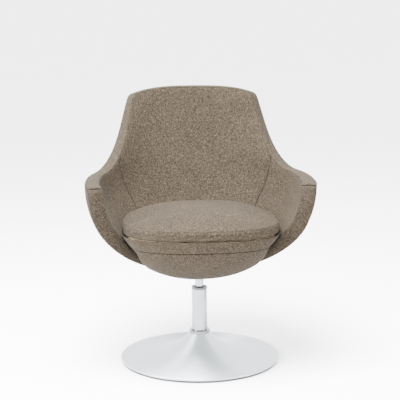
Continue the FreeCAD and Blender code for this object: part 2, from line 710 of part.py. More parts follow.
# Stations across the shell: closer together at the back corners, and on the round of the tips
# each one has its place on the round, from 0 at its start to 1 at the front edge
TIP_PLACES = (0.0, 0.33, 0.61, 0.83, 1.0)
TIP_TURN = 0.9
tip_share = TIP_TURN * dim.tip_radius / edge_width(dim.arm_height)


def half_stations():
    plain = [dim.corner_share * part for part in (0.0, 0.2, 0.4, 0.58, 0.74, 0.86)]
    plain += [dim.corner_share + dim.corner_blend * part / 2000 for part in range(-2, 4)]
    sweep = 1 - tip_share - dim.corner_share
    plain += [dim.corner_share + sweep * part
              for part in (0.06, 0.09, 0.12, 0.155, 0.19, 0.23, 0.28, 0.33, 0.39,
                           0.45, 0.52, 0.6, 0.68, 0.77, 0.86, 0.94)]
    stations = [(share, 0.0) for share in plain]
    stations += [(1 - tip_share * (1 - place), place) for place in TIP_PLACES]
    return stations


right_stations = half_stations()
all_stations = [(-share, place) for share, place in reversed(right_stations[1:])] + right_stations


def rim_height(share, place):
    return top_edge(share) - dim.tip_radius * (1 - math.sqrt(1 - (TIP_TURN * place) ** 2))


ROWS = 20
ROW_POWER = 1.5


def station_line(share, place, layer_depth, inset=0.0, low=None, share_at=None):
    """Points of one station from the foot of the shell up to its edge, less an inset from the edge."""
    slope = (top_edge(share + SHARE_STEP) - top_edge(share - SHARE_STEP)) / (2 * SHARE_STEP)
    slope = slope / edge_width(dim.arm_height)
    lift = inset * math.sqrt(1 - place ** 2) * math.sqrt(1 + slope ** 2)
    high = rim_height(share, place) - lift
    low = dim.shell_foot_height if low is None else low
    points = []
    for row in range(ROWS):
        height = low + (high - low) * (row / (ROWS - 1)) ** ROW_POWER
        here = share if share_at is None else share_at(share, height)
        here -= math.copysign(place, share) * inset / edge_width(height)
        points.append(shell_point(here, height, layer_depth(height)))
    return points


SEWING = 0.01


def skin(lines):
    surface = Part.BSplineSurface()
    surface.interpolate(lines)
    return surface


def side(first, second):
    return Part.makeRuledSurface(first.toShape(), second.toShape())


def closed_solid(faces):
    sewn = Part.makeCompound(faces)
    sewn.sewShape(SEWING)
    return Part.makeSolid(sewn.Shells[0])


def slab(outer_lines, inner_lines):
    """A solid between two skins with the same number of points."""
    outer = skin(outer_lines)
    inner = skin(inner_lines)
    first_u, last_u, first_v, last_v = outer.bounds()
    inner_first_u, inner_last_u, inner_first_v, inner_last_v = inner.bounds()
    faces = [
        outer.toShape(),
        inner.toShape(),
        side(outer.uIso(first_u), inner.uIso(inner_first_u)),
        side(outer.uIso(last_u), inner.uIso(inner_last_u)),
        side(outer.vIso(first_v), inner.vIso(inner_first_v)),
        side(outer.vIso(last_v), inner.vIso(inner_last_v)),
    ]
    solid = closed_solid(faces)
    if solid.Orientation == "Reversed":
        solid = closed_solid([face.reversed() for face in faces])
    return solid


def layer(stations, near_depth, far_depth, inset=0.0, **more):
    """A layer of the shell between two depths."""
    near = [station_line(share, place, near_depth, inset, **more) for share, place in stations]
    far = [station_line(share, place, far_depth, inset, **more) for share, place in stations]
    return slab(near, far)


# Depths of the layers under the outer surface
def foam_room(height):
    return wall_at(height) - 2 * dim.cloth - dim.shell_ply - 2 * dim.cloth_gap - 2 * dim.layer_gap


def outer_foam_start(height):
    return dim.cloth + dim.cloth_gap


def outer_foam_end(height):
    return outer_foam_start(height) + dim.outer_foam_share * foam_room(height)


def ply_start(height):
    return outer_foam_end(height) + dim.layer_gap


def ply_end(height):
    return ply_start(height) + dim.shell_ply


def inner_foam_start(height):
    return ply_end(height) + dim.layer_gap


def inner_foam_end(height):
    return wall_at(height) - dim.cloth - dim.cloth_gap


def lining_start(height):
    return wall_at(height) - dim.cloth


def outside(height):
    return 0.0


def cover_end(height):
    return dim.cloth


edge_inset = dim.cloth + dim.layer_gap
shell_ply = layer(all_stations, ply_start, ply_end, edge_inset + dim.ply_setback)
shell_inner_foam = layer(all_stations, inner_foam_start, inner_foam_end, edge_inset)
shell_outer_foam = layer(all_stations, outer_foam_start, outer_foam_end, edge_inset)


# Panels of the cover and the lining, with upright seams between the back and the sides
def seam_share(height):
    fall = (dim.seam_top_height - height) / (dim.seam_top_height - dim.seam_low_height)
    return dim.seam_top_share + (dim.seam_low_share - dim.seam_top_share) * min(max(fall, 0.0), 1.0)


def back_panel_share(share, height):
    edge = seam_share(height) - dim.layer_gap / edge_width(dim.arm_height)
    return share * edge / dim.seam_top_share


def side_panel_share(share, height):
    edge = seam_share(height) + dim.layer_gap / edge_width(dim.arm_height)
    part = (abs(share) - dim.seam_top_share) / (1 - dim.seam_top_share)
    return math.copysign(edge + (1 - edge) * part, share)


side_stations = [(dim.seam_top_share, 0.0)]
side_stations += [(share, place) for share, place in right_stations if share > dim.seam_top_share + 0.01]
left_side_stations = [(-share, place) for share, place in reversed(side_stations)]
back_half = [(share, place) for share, place in right_stations if share < dim.seam_top_share - 0.01]
back_half.append((dim.seam_top_share, 0.0))
back_stations = [(-share, place) for share, place in reversed(back_half[1:])] + back_half

panels = {
    "back": (back_stations, back_panel_share),
    "left": (left_side_stations, side_panel_share),
    "right": (side_stations, side_panel_share),
}
covers = {name: layer(stations, outside, cover_end, edge_inset, share_at=share_at)
          for name, (stations, share_at) in panels.items()}
linings = {name: layer(stations, lining_start, wall_at, edge_inset + dim.layer_gap, share_at=share_at)
           for name, (stations, share_at) in panels.items()}


# Border round the edge, in three lengths that meet at the cross seams on the front of the arms
BORDER_ROWS = 5


def edge_point(share, place, height, depth_part, inset):
    """A point on the edge, with height given on the front edges and None along the top."""
    if height is None:
        slope = (top_edge(share + SHARE_STEP) - top_edge(share - SHARE_STEP)) / (2 * SHARE_STEP)
        slope = slope / edge_width(dim.arm_height)
        height = rim_height(share, place) - inset * math.sqrt(1 - place ** 2) * math.sqrt(1 + slope ** 2)
    here = share - math.copysign(place, share) * inset / edge_width(height)
    return shell_point(here, height, depth_part * wall_at(height))


def border(places):
    outer_lines = []
    inner_lines = []
    for share, place, height in places:
        outer_line = []
        inner_line = []
        for row in range(BORDER_ROWS):
            part = row / (BORDER_ROWS - 1)
            crown = dim.border_crown * 4 * part * (1 - part)
            outer_line.append(edge_point(share, place, height, part, -crown))
            inner_line.append(edge_point(share, place, height, part, dim.cloth))
        outer_lines.append(outer_line)
        inner_lines.append(inner_line)
    return slab(outer_lines, inner_lines)


FRONT_STEPS = 14
tip_bottom = rim_height(1.0, 1.0)


def front_heights(low, high, steps):
    return [low + (high - low) * step / (steps - 1) for step in range(steps)]


front_places = {
    "left": [(-1.0, 1.0, height)
             for height in front_heights(dim.shell_foot_height,
                                         dim.border_joint_height - dim.layer_gap / 2, FRONT_STEPS)],
    "right": [(1.0, 1.0, height)
              for height in front_heights(dim.border_joint_height - dim.layer_gap / 2,
                                          dim.shell_foot_height, FRONT_STEPS)],
}
over_tip = front_heights(dim.border_joint_height + dim.layer_gap / 2, tip_bottom, 4)[:-1]
top_places = [(-1.0, 1.0, height) for height in over_tip]
top_places += [(share, place, None) for share, place in all_stations]
top_places += [(1.0, 1.0, height) for height in reversed(over_tip)]
borders = {name: border(places) for name, places in front_places.items()}
top_border = border(top_places)


# Lining of the shell as seen from inside, for what lies in it

def lining_point(share, height):
    """The point of the lining at a height, found by stepping the outer height down to it."""
    low = dim.shell_foot_height
    high = height
    for step in range(30):
        middle = (low + high) / 2
        if shell_point(share, middle, wall_at(middle)).z < height:
            low = middle
        else:
            high = middle
    return shell_point(share, high, wall_at(high))


def lining_half(height):
    widest = max(lining_point(part / 20, height).x for part in range(8, 20))
    return widest


def lining_back(height):
    return lining_point(0.0, height).y


# Closed rings in plan, and lofts through them
RING_POINTS = 56


def plan_ring(half_width, front, rear, centre, height, power, widening=None):
    """A closed ring, round like a superellipse, from its half width and its ends along Y."""
    points = []
    for number in range(RING_POINTS):
        turn = 2 * math.pi * number / RING_POINTS
        reach = rear - centre if math.sin(turn) > 0 else centre - front
        radius = ((abs(math.cos(turn)) / half_width) ** power
                  + (abs(math.sin(turn)) / reach) ** power) ** (-1 / power)
        y = centre + radius * math.sin(turn)
        wider = 1.0 if widening is None else widening(y)
        points.append(Vector(radius * math.cos(turn) * wider, y, height))
    curve = Part.BSplineCurve()
    curve.interpolate(points, PeriodicFlag=True)
    return Part.Wire(curve.toShape())


def loft(rings):
    """A solid through rings, with straight strips from each ring to the next."""
    return Part.makeLoft(rings, True, True)


def board(outline, thickness):
    return Part.Face(outline).extrude(Vector(0, 0, thickness))


def below(height):
    """Everything in reach of the chair under a height."""
    reach = 2 * dim.shell_half_width
    return Part.makeBox(2 * reach, 2 * reach, height + reach, Vector(-reach, -reach, -reach))


def above(height):
    reach = 2 * dim.shell_half_width
    return Part.makeBox(2 * reach, 2 * reach, reach, Vector(-reach, -reach, height))


# Round of the bowl: a half ellipse from its widest ring down to its bottom
BOWL_TURNS = (0, 8, 16, 24, 32, 40, 48, 56, 64, 71, 77, 82)
FRONT_FULLNESS = 0.85


def bowl_reaches(height):
    """Half width, front and rear of the bowl at a height: its own round, kept inside the shell."""
    drop = min(1.0, (dim.bowl_wide_height - height) / dim.bowl_drop)
    spread = math.sqrt(1 - drop ** 2)
    centre = -dim.bowl_top_shift + (dim.bowl_top_shift - dim.bowl_low_shift) * drop
    inside = max(height, dim.shell_foot_height)
    half = min(dim.bowl_half_width * spread, lining_half(inside) - dim.bowl_gap)
    front = centre - dim.bowl_front_reach * spread ** FRONT_FULLNESS
    rear = min(centre + dim.bowl_rear_reach * spread, lining_back(inside) - dim.bowl_gap)
    return half, front, rear


def bowl_ring(turn, inset):
    """A ring of the bowl, moved inwards along the normal of its round.

    It is kept inside the shell, and has its full width in front of the edges of the shell.
    """
    lean = math.hypot(math.cos(turn) / dim.bowl_half_width, math.sin(turn) / dim.bowl_drop)
    inward = inset * math.cos(turn) / dim.bowl_half_width / lean
    upward = inset * math.sin(turn) / dim.bowl_drop / lean
    surface = dim.bowl_wide_height - dim.bowl_drop * math.sin(turn)
    half, front, rear = bowl_reaches(surface)
    front_share = (1 - math.sin(turn) ** dim.bowl_front_power) ** (1 / dim.bowl_front_power)
    full_half = max(half, dim.bowl_half_width * front_share)
    free_edge = front_line(max(surface, dim.shell_foot_height)) - dim.bowl_front_gap

    def widening(y):
        return 1 + (full_half / half - 1) * ease((free_edge - y) / dim.bowl_front_blend)

    height = surface + upward
    return plan_ring(half - inward, front + inward, rear - inward, centre_line(height),
                     height, dim.section_power, widening)


def bowl_round(inset):
    return loft([bowl_ring(math.radians(turn), inset) for turn in reversed(BOWL_TURNS)])


rod_hole = cylinder(dim.rod_hole_radius, 0, dim.pan_floor_height)
apron_seam = dim.bowl_rim_height - dim.apron_height
bowl_top = below(dim.bowl_rim_height)
bowl_skin = bowl_round(0).cut(bowl_round(dim.cloth)).common(bowl_top).cut(rod_hole)


def largest(shape):
    return max(shape.Solids, key=lambda solid: solid.Volume)


apron_band = largest(bowl_skin.common(above(apron_seam + dim.layer_gap / 2)))
bowl_cover = largest(bowl_skin.common(below(apron_seam - dim.layer_gap / 2)))

# Seat pan: a flat floor and a wall that follows the bowl
PAN_STEPS = (0.14, 0.27, 0.42, 0.6, 0.8, 1.0)
pan_top = dim.bowl_rim_height - dim.deck_thickness


def inner_ring(height, inset):
    """A ring inside the bowl, moved level inwards."""
    half, front, rear = bowl_reaches(height)
    return plan_ring(half - inset, front + inset, rear - inset, centre_line(height),
                     height, dim.section_power)


def pan_ring(height, inset):
    return inner_ring(height, dim.pan_gap + inset)


def pan_solid(inset, floor):
    floor_ring_half = dim.pan_floor_half - inset
    floor_outline = plan_ring(floor_ring_half, -floor_ring_half, floor_ring_half * 0.85, 0,
                              floor, dim.section_power)
    rings = [floor_outline]
    for part in PAN_STEPS:
        height = dim.pan_floor_height + part * (pan_top - dim.pan_floor_height)
        rings.append(pan_ring(height, inset))
    return loft(rings)


PAN_LEAN = 1.2
pan_outside = pan_solid(0, dim.pan_floor_height)
pan_inside = pan_solid(dim.pan_wall * PAN_LEAN, dim.pan_floor_height + dim.pan_wall)
hub_hole = cylinder(hub_outside.number + dim.bolt_clearance, dim.pan_floor_height, pan_top)
tee_bores = Part.makeCompound([cylinder(tee_barrel_radius, dim.pan_floor_height, pan_floor_top, place)
                               for place in seat_bolt_places])
seat_pan = pan_outside.cut(pan_inside).cut(hub_hole).cut(tee_bores)

# Deck board on the rim of the pan, with its screws
deck_inset = dim.cloth + dim.layer_gap + dim.deck_foam


seat_deck = board(inner_ring(pan_top, deck_inset), dim.deck_thickness)
deck_room = board(inner_ring(pan_top, deck_inset - dim.layer_gap), dim.deck_thickness + dim.layer_gap)
deck_room.translate(Vector(0, 0, -dim.layer_gap))
deck_screw_middle = pan_top - (dim.deck_screw_length - dim.deck_thickness) / 2
DECK_SCREW_TURNS = (-150, -110, -70, -30, 25, 65, 115, 155)


def deck_screw(turn):
    ring_curve = pan_ring(deck_screw_middle, dim.pan_wall * PAN_LEAN / 2).Edges[0].Curve
    direction = Vector(math.cos(math.radians(turn)), math.sin(math.radians(turn)), 0)
    start = Vector(0, centre_line(deck_screw_middle), deck_screw_middle)
    ray = Part.makeLine(start, start + direction * 2 * dim.shell_half_width)
    place = ray.distToShape(ring_curve.toShape())[1][0][0]
    head_height = 2 * dim.deck_screw_radius
    head = Part.makeCone(dim.deck_screw_radius, 2 * dim.deck_screw_radius, head_height,
                         Vector(place.x, place.y, dim.bowl_rim_height - head_height))
    shank = cylinder(dim.deck_screw_radius, dim.bowl_rim_height - dim.deck_screw_length,
                     dim.bowl_rim_height - head_height, (place.x, place.y))
    return head.fuse(shank).removeSplitter()


deck_screws = Part.makeCompound([deck_screw(turn) for turn in DECK_SCREW_TURNS])
seat_deck = seat_deck.cut(deck_screws)
seat_pan = seat_pan.cut(deck_screws)

# Foam between the pan and the cover, hollow under the seat plate
foam_hollow = cylinder(1.1 * dim.pan_floor_half, 0, dim.pan_floor_height + dim.layer_gap)
pan_room = pan_solid(-dim.layer_gap, dim.pan_floor_height - dim.layer_gap)
bowl_foam = bowl_round(dim.cloth + dim.layer_gap).common(bowl_top)
bowl_foam = bowl_foam.cut(pan_room).cut(deck_room).cut(foam_hollow)
bowl_foam = largest(bowl_foam)

# Cushion: drawn in at its two seams, full in the side band and crowned on top
cushion_bottom = dim.bowl_rim_height + dim.grip_thickness
cushion_seam = cushion_bottom + dim.cushion_side_height
CROWN_STEPS = ((0.985, 0.2), (0.95, 0.4), (0.88, 0.6), (0.75, 0.79), (0.55, 0.93), (0.3, 0.99))
SIDE_STEPS = ((0.0, 1.0), (0.12, 0.35), (0.45, 0.0), (0.8, 0.2), (1.0, 1.0))


def cushion_ring(shrink, draw, height, inset):
    centre = -dim.cushion_middle_shift
    half = dim.cushion_half_width - draw - inset
    front = centre - (dim.cushion_front_reach - draw - inset)
    rear = lining_back(min(height, cushion_seam)) - dim.cushion_back_gap - draw - inset
    return plan_ring(half * shrink, centre + (front - centre) * shrink,
                     centre + (rear - centre) * shrink, centre, height, dim.cushion_power)


def cushion_solid(inset):
    rings = []
    for part, draw in SIDE_STEPS:
        height = cushion_bottom + inset + part * (dim.cushion_side_height - inset)
        rings.append(cushion_ring(1.0, draw * dim.cushion_draw, height, inset))
    for shrink, rise in CROWN_STEPS:
        rings.append(cushion_ring(shrink, dim.cushion_draw,
                                  cushion_seam + rise * dim.cushion_crown - inset, inset))
    return loft(rings)


half_gap = dim.layer_gap / 2
board_bottom = cushion_bottom + dim.cloth + dim.layer_gap
cushion_skin = cushion_solid(0).cut(cushion_solid(dim.cloth))
cushion_top = largest(cushion_skin.common(above(cushion_seam + half_gap)))
cushion_band = largest(cushion_skin.common(above(board_bottom)).common(below(cushion_seam - half_gap)))
cushion_base = board(cushion_ring(1.0, dim.cushion_draw, cushion_bottom, 0), dim.cloth)
cushion_core = cushion_solid(dim.cloth + dim.layer_gap)
cushion_board = board(cushion_ring(1.0, dim.cushion_draw, board_bottom, deck_inset), dim.cushion_board)
cushion_foam = cushion_core.common(above(board_bottom + dim.cushion_board + dim.layer_gap))


def grip_strip(side_sign):
    middle = -dim.cushion_middle_shift + side_sign * 0.5 * dim.cushion_front_reach
    corner = Vector(-dim.grip_length / 2, middle - dim.grip_width / 2, dim.bowl_rim_height)
    return Part.makeBox(dim.grip_length, dim.grip_width, dim.grip_thickness, corner)


grip_strips = Part.makeCompound([grip_strip(-1), grip_strip(1)])

# Screws from inside the pan, through the lining and its foam, into the ply of the shell
SHELL_SCREW_SHARES = (-0.7, -0.4, -0.13, 0.13, 0.4, 0.7)


class ShellScrew:
    """One screw on the normal of the shell, with the bores that it needs."""

    def __init__(self, share):
        height = dim.shell_screw_height
        self.inward = -shell_normal(share, height)
        surface = shell_outside(share, height)
        ray = Part.makeLine(surface, surface + self.inward * 4 * dim.wall)
        through = ray.common(pan_outside.cut(pan_inside)).Vertexes
        far = max((vertex.Point - surface).dot(self.inward) for vertex in through)
        self.surface = surface
        self.seat = far - 0.25 * dim.pan_wall
        self.tip = ply_end(height) - dim.shell_screw_bite

    def rod(self, radius, near, far):
        return Part.makeCylinder(radius, far - near, self.surface + self.inward * near, self.inward)

    def screw(self):
        head_start = self.seat + dim.shell_washer_thickness
        shank = self.rod(dim.shell_screw_radius, self.tip, head_start)
        head = self.rod(dim.shell_screw_head, head_start, head_start + dim.shell_screw_head_height)
        return shank.fuse(head).removeSplitter()

    def washer(self):
        whole = self.rod(dim.shell_washer_radius, self.seat, self.seat + dim.shell_washer_thickness)
        return whole.cut(self.rod(dim.shell_screw_radius, self.seat,
                                  self.seat + dim.shell_washer_thickness))

    def ply_bore(self):
        return self.rod(dim.shell_screw_radius, self.tip, ply_end(dim.shell_screw_height) + dim.layer_gap)

    def plain_bore(self):
        radius = dim.shell_screw_radius + dim.bolt_clearance
        return self.rod(radius, ply_end(dim.shell_screw_height), self.seat + dim.wall)

    def spot_face(self):
        return self.rod(dim.shell_washer_radius + dim.layer_gap, self.seat, self.seat + dim.wall)


shell_screws = [ShellScrew(share) for share in SHELL_SCREW_SHARES]
plain_bores = Part.makeCompound([screw.plain_bore() for screw in shell_screws])
seat_pan = seat_pan.cut(plain_bores).cut(Part.makeCompound([screw.spot_face() for screw in shell_screws]))
bowl_foam = largest(bowl_foam.cut(plain_bores))
bowl_cover = largest(bowl_cover.cut(plain_bores))
shell_ply = shell_ply.cut(Part.makeCompound([screw.ply_bore() for screw in shell_screws]))
shell_inner_foam = shell_inner_foam.cut(plain_bores)
linings = {name: largest(lining.cut(plain_bores)) for name, lining in linings.items()}

# Pieces of the seat, from the bowl to the shell
for label, shape in (
    ("seat_pan", seat_pan),
    ("seat_deck", seat_deck),
    ("deck_screws", deck_screws),
    ("bowl_foam", bowl_foam),
    ("apron_band", apron_band),
    ("bowl_cover", bowl_cover),
    ("grip_strips", grip_strips),
    ("cushion_board", cushion_board),
    ("cushion_foam", cushion_foam),
    ("cushion_top_cover", cushion_top),
    ("cushion_side_band", cushion_band),
    ("cushion_base_cover", cushion_base),
    ("shell_ply", shell_ply),
    ("shell_inner_foam", shell_inner_foam),
    ("shell_outer_foam", shell_outer_foam),
    ("inner_back_lining", linings["back"]),
    ("inner_arm_lining_left", linings["left"]),
    ("inner_arm_lining_right", linings["right"]),
    ("outer_back_cover", covers["back"]),
    ("outer_side_cover_left", covers["left"]),
    ("outer_side_cover_right", covers["right"]),
    ("top_border", top_border),
    ("front_border_left", borders["left"]),
    ("front_border_right", borders["right"]),
    ("shell_screws", Part.makeCompound([screw.screw() for screw in shell_screws])),
    ("shell_washers", Part.makeCompound([screw.washer() for screw in shell_screws])),
):
    solid_piece(label, shape)

# Every object is in order before anything is written
doc.recompute()
for item in doc.Objects:
    if "Invalid" in item.State or "Error" in item.State:
        raise RuntimeError(f"{item.Label} is {item.State}")
for item in pieces:
    if item.Shape.isNull() or not item.Shape.isValid():
        raise RuntimeError(f"the shape of {item.Label} is not valid")

os.makedirs("parts", exist_ok=True)
for item in pieces:
    item.Shape.exportStep(os.path.join("parts", f"{item.Label}.step"))
    box = item.Shape.BoundBox
    print(f"{item.Label}: {len(item.Shape.Solids)} solids, {item.Shape.Volume / 1000:.1f} cm3, "
          f"x {box.XMin:.1f} to {box.XMax:.1f}, y {box.YMin:.1f} to {box.YMax:.1f}, "
          f"z {box.ZMin:.1f} to {box.ZMax:.1f}")
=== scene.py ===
# %% [markdown]
# # A pedestal swivel armchair
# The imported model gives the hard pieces. This script makes the soft ones: a shell that wraps round the
# back and the arms, a bowl under the seat and a loose cushion. +Z is up, and the chair faces -Y. The
# scene is in metres. The formulas of the cloth count in millimetres, as a pattern cutter does, and each
# mesh is brought to metres when it is made.

import json
import math

import bpy
import numpy as np
from mathutils import Matrix, Vector


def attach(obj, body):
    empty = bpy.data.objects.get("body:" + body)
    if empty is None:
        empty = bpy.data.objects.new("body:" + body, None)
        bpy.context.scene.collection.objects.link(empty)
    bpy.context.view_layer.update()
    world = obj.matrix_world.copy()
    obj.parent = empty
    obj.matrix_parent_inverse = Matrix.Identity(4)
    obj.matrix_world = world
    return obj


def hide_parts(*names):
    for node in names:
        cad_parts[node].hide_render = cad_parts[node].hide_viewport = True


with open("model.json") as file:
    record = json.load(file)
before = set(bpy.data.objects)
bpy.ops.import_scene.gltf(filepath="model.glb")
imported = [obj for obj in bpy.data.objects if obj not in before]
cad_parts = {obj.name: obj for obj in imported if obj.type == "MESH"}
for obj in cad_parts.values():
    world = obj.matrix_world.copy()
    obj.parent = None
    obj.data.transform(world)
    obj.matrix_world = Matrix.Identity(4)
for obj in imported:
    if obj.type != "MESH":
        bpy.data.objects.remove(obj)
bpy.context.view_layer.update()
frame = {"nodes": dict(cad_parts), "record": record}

# %% [markdown]
# ## Studio floor
# The photograph shows the chair alone on white. A backdrop with a round corner could stand behind it,
# but a white floor that reaches out of sight needs no corner. Bright metal only shows what is round it,
# so two dark mats lie on the floor, outside the camera's view, where the column can reflect them. They
# show in views from other angles.

# %% Floor
STAGE_SIZE = 600.0
FLOOR_GREY, MAT_GREY = 0.93, 0.12
FLOOR_ROUGHNESS, FLOOR_SHINE = 0.8, 0.1
MAT_HEIGHT = 0.001
MATS = {"dark_mat_right": ((0.75, -0.12), (1.7, 0.22)), "dark_mat_left": ((-1.9, 0.6), (-1.0, 1.4))}


def stage_plate(name, finish, low, high, height, grey):
    """A flat plate that belongs to the studio. Returns the inputs of its shader."""
    corners = [(low[0], low[1]), (high[0], low[1]), (high[0], high[1]), (low[0], high[1])]
    mesh = bpy.data.meshes.new(name)
    mesh.from_pydata([(x, y, height) for x, y in corners], [], [(0, 1, 2, 3)])
    plate = bpy.data.objects.new(name, mesh)
    bpy.context.scene.collection.objects.link(plate)
    material = bpy.data.materials.new(finish)
    material.use_nodes = True
    inputs = material.node_tree.nodes["Principled BSDF"].inputs
    inputs["Base Color"].default_value = (grey, grey, grey, 1)
    mesh.materials.append(material)
    return inputs


far = STAGE_SIZE / 2
floor_inputs = stage_plate("studio_floor", "studio_white", (-far, -far), (far, far), 0, FLOOR_GREY)
floor_inputs["Roughness"].default_value = FLOOR_ROUGHNESS
floor_inputs["Specular IOR Level"].default_value = FLOOR_SHINE
for name, (low, high) in MATS.items():
    stage_plate(name, name + "_felt", low, high, MAT_HEIGHT, MAT_GREY)
print("the floor is", STAGE_SIZE, "m wide, with", len(MATS), "mats on it")

# %% [markdown]
# ## Light
# The shadows in the photograph are soft, and the left border is brighter than the right one. A bright
# world gives the soft fill. A round light over the seat models the cushion, and one on each side, the
# left one far stronger, models the arms.

# %% Lights
WORLD_STRENGTH = 5.0
SEAT_CENTRE = (0.0, -0.1, 0.5)
LIGHTS = {
    "top_light": {"place": (-0.4, -0.6, 3.0), "size": 1.8, "power": 900},
    "left_light": {"place": (-3.0, -1.5, 1.6), "size": 1.6, "power": 330},
    "right_light": {"place": (3.0, -1.0, 1.4), "size": 1.6, "power": 30},
}


def add_area_light(name, place, size, power):
    data = bpy.data.lights.new(name, "AREA")
    data.shape = "DISK"
    data.size = size
    data.energy = power
    light = bpy.data.objects.new(name, data)
    bpy.context.scene.collection.objects.link(light)
    light.location = place
    light.rotation_euler = (Vector(SEAT_CENTRE) - Vector(place)).to_track_quat("-Z", "Y").to_euler()


world = bpy.data.worlds.new("studio")
bpy.context.scene.world = world
world.use_nodes = True
world.node_tree.nodes["Background"].inputs["Color"].default_value = (1.0, 1.0, 1.0, 1)
world.node_tree.nodes["Background"].inputs["Strength"].default_value = WORLD_STRENGTH
for name, settings in LIGHTS.items():
    add_area_light(name, **settings)
print("the lights are", ", ".join(LIGHTS))

# %% [markdown]
# ## Camera
# The base and the rims of the arms show from how far and how high the photograph was taken. A long lens
# at 3.7 m gives the same small difference in size between the front and the back of the base.

# %% Camera
CAMERA_PLACE = (-0.226, -3.693, 1.190)
SENSOR_WIDTH, CAMERA_LENS, CAMERA_SHIFT = 36.0, 105.3, 0.0035
CAMERA_PITCH, CAMERA_TURN, CAMERA_ROLL = 10.15, 3.5, -0.45

camera_data = bpy.data.cameras.new("camera")
camera_data.sensor_width = SENSOR_WIDTH
camera_data.lens = CAMERA_LENS
camera_data.shift_x = CAMERA_SHIFT
camera = bpy.data.objects.new("camera", camera_data)
bpy.context.scene.collection.objects.link(camera)
camera.location = CAMERA_PLACE
aim = Matrix.Rotation(math.radians(-CAMERA_TURN), 4, "Z")
aim = aim @ Matrix.Rotation(math.radians(90 - CAMERA_PITCH), 4, "X")
aim = aim @ Matrix.Rotation(math.radians(CAMERA_ROLL), 4, "Z")
camera.rotation_euler = aim.to_euler()
bpy.context.scene.camera = camera
print("the camera looks down by", CAMERA_PITCH, "degrees")

# %% [markdown]
# ## Plan of the shell
# The real shell is one sheet of bent ply, padded on both sides. It could be modelled by hand from a box,
# but formulas give panels that meet along every seam. At each height the plan is a rounded curve: it is
# known from its half width, the line of its back, its centre, and how far its arms reach forward.

# %% Plan of the shell
MM = 0.001
SHELL_HALF, TOP_HALF = 360.0, 395.0
SHELL_WIDE_Z, SHELL_LOW_Z, FOOT_Z, TOP_Z = 600.0, 282.0, 302.0, 866.0
BACK_REACH, BACK_DEEP_Z, BACK_CURVE = 352.0, 900.0, 622.0
ROUNDNESS = 2.5
ARM_CURVE_REACH, ARM_SHIFT, TOP_SHIFT = 300.0, 95.0, 10.0
SHIFT_LOW_Z, SHIFT_HIGH_Z = 290.0, 470.0
TIP_REACH, FOOT_SETBACK, SWEEP_BACK_POWER = 215.0, 20.0, 2.75


def ease(x):
    """Goes from 0 to 1 with a flat start and a flat end."""
    x = np.clip(x, 0.0, 1.0)
    return x * x * (3 - 2 * x)


def shell_half(z):
    drop = np.clip((SHELL_WIDE_Z - z) / (SHELL_WIDE_Z - SHELL_LOW_Z), 0, 1)
    rise = np.clip((z - SHELL_WIDE_Z) / (TOP_Z - SHELL_WIDE_Z), 0, None)
    return np.where(z < SHELL_WIDE_Z, SHELL_HALF * np.sqrt(1 - drop ** 2),
                    SHELL_HALF + (TOP_HALF - SHELL_HALF) * rise ** 2)


def back_line(z):
    return BACK_REACH * np.sqrt(1 - ((BACK_DEEP_Z - z) / BACK_CURVE) ** 2)


def centre_line(z):
    low = -ARM_SHIFT * ease((z - SHIFT_LOW_Z) / (SHIFT_HIGH_Z - SHIFT_LOW_Z))
    high = -ARM_SHIFT + (ARM_SHIFT - TOP_SHIFT) * ease((z - SHELL_WIDE_Z) / (TOP_Z - SHELL_WIDE_Z))
    return np.where(z < SHELL_WIDE_Z, low, high)


def front_line(z):
    """The front edges of the arms, which sweep back towards the foot."""
    drop = np.clip((SHELL_WIDE_Z - z) / (SHELL_WIDE_Z - SHIFT_LOW_Z), 0, None)
    return -TIP_REACH + (TIP_REACH + FOOT_SETBACK) * drop ** SWEEP_BACK_POWER


def front_half(z):
    return ARM_CURVE_REACH * shell_half(z) / SHELL_HALF


print("the back is", round(float(2 * shell_half(TOP_Z))), "mm wide in plan at its top")

# %% [markdown]
# ## Surface of the shell
# A point of the shell is found from its *share* of the way round, from -1 at the left front edge to 1 at
# the right one, from its height, and from its depth under the outer surface. The functions take whole
# arrays, so a panel is worked out at once.

# %% Surface of the shell
SMALL_SHARE, SMALL_RISE = 1e-4, 0.05
TINY = 1e-12
WALL, FOOT_WALL, WALL_LOW_Z, WALL_HIGH_Z = 46.0, 20.0, 300.0, 430.0


def edge_turn(z):
    """Angle in the plan at which the shell ends."""
    reach = front_line(z) - centre_line(z)
    half = np.where(reach < 0, front_half(z), back_line(z) - centre_line(z))
    return np.sign(reach) * np.arcsin(np.minimum(1, (np.abs(reach) / half) ** (ROUNDNESS / 2)))


def shell_outside(share, z):
    turn = np.pi / 2 - (np.pi / 2 - edge_turn(z)) * share
    power = 2 / ROUNDNESS
    cosine, sine = np.cos(turn), np.sin(turn)
    reach = np.where(sine > 0, back_line(z) - centre_line(z), front_half(z))
    x = shell_half(z) * np.sign(cosine) * np.abs(cosine) ** power
    y = centre_line(z) + reach * np.sign(sine) * np.abs(sine) ** power
    return np.stack([x, y, z + 0 * share], axis=-1)


def shell_normal(share, z):
    across = shell_outside(share + SMALL_SHARE, z) - shell_outside(share - SMALL_SHARE, z)
    up = shell_outside(share, z + SMALL_RISE) - shell_outside(share, z - SMALL_RISE)
    normal = np.cross(across, up)
    normal /= np.linalg.norm(normal, axis=-1, keepdims=True)
    outward = shell_outside(share, z) - np.stack([0 * z, centre_line(z), z + 0 * share], axis=-1)
    return normal * np.sign(np.sum(normal * outward, axis=-1, keepdims=True))


def shell_point(share, z, depth):
    share, z = np.broadcast_arrays(np.asarray(share, float), np.asarray(z, float))
    return shell_outside(share, z) - shell_normal(share, z) * np.asarray(depth)[..., None]


def wall_at(z):
    """Thickness of the padded shell, which thins towards its foot."""
    return FOOT_WALL + (WALL - FOOT_WALL) * ease((z - WALL_LOW_Z) / (WALL_HIGH_Z - WALL_LOW_Z))


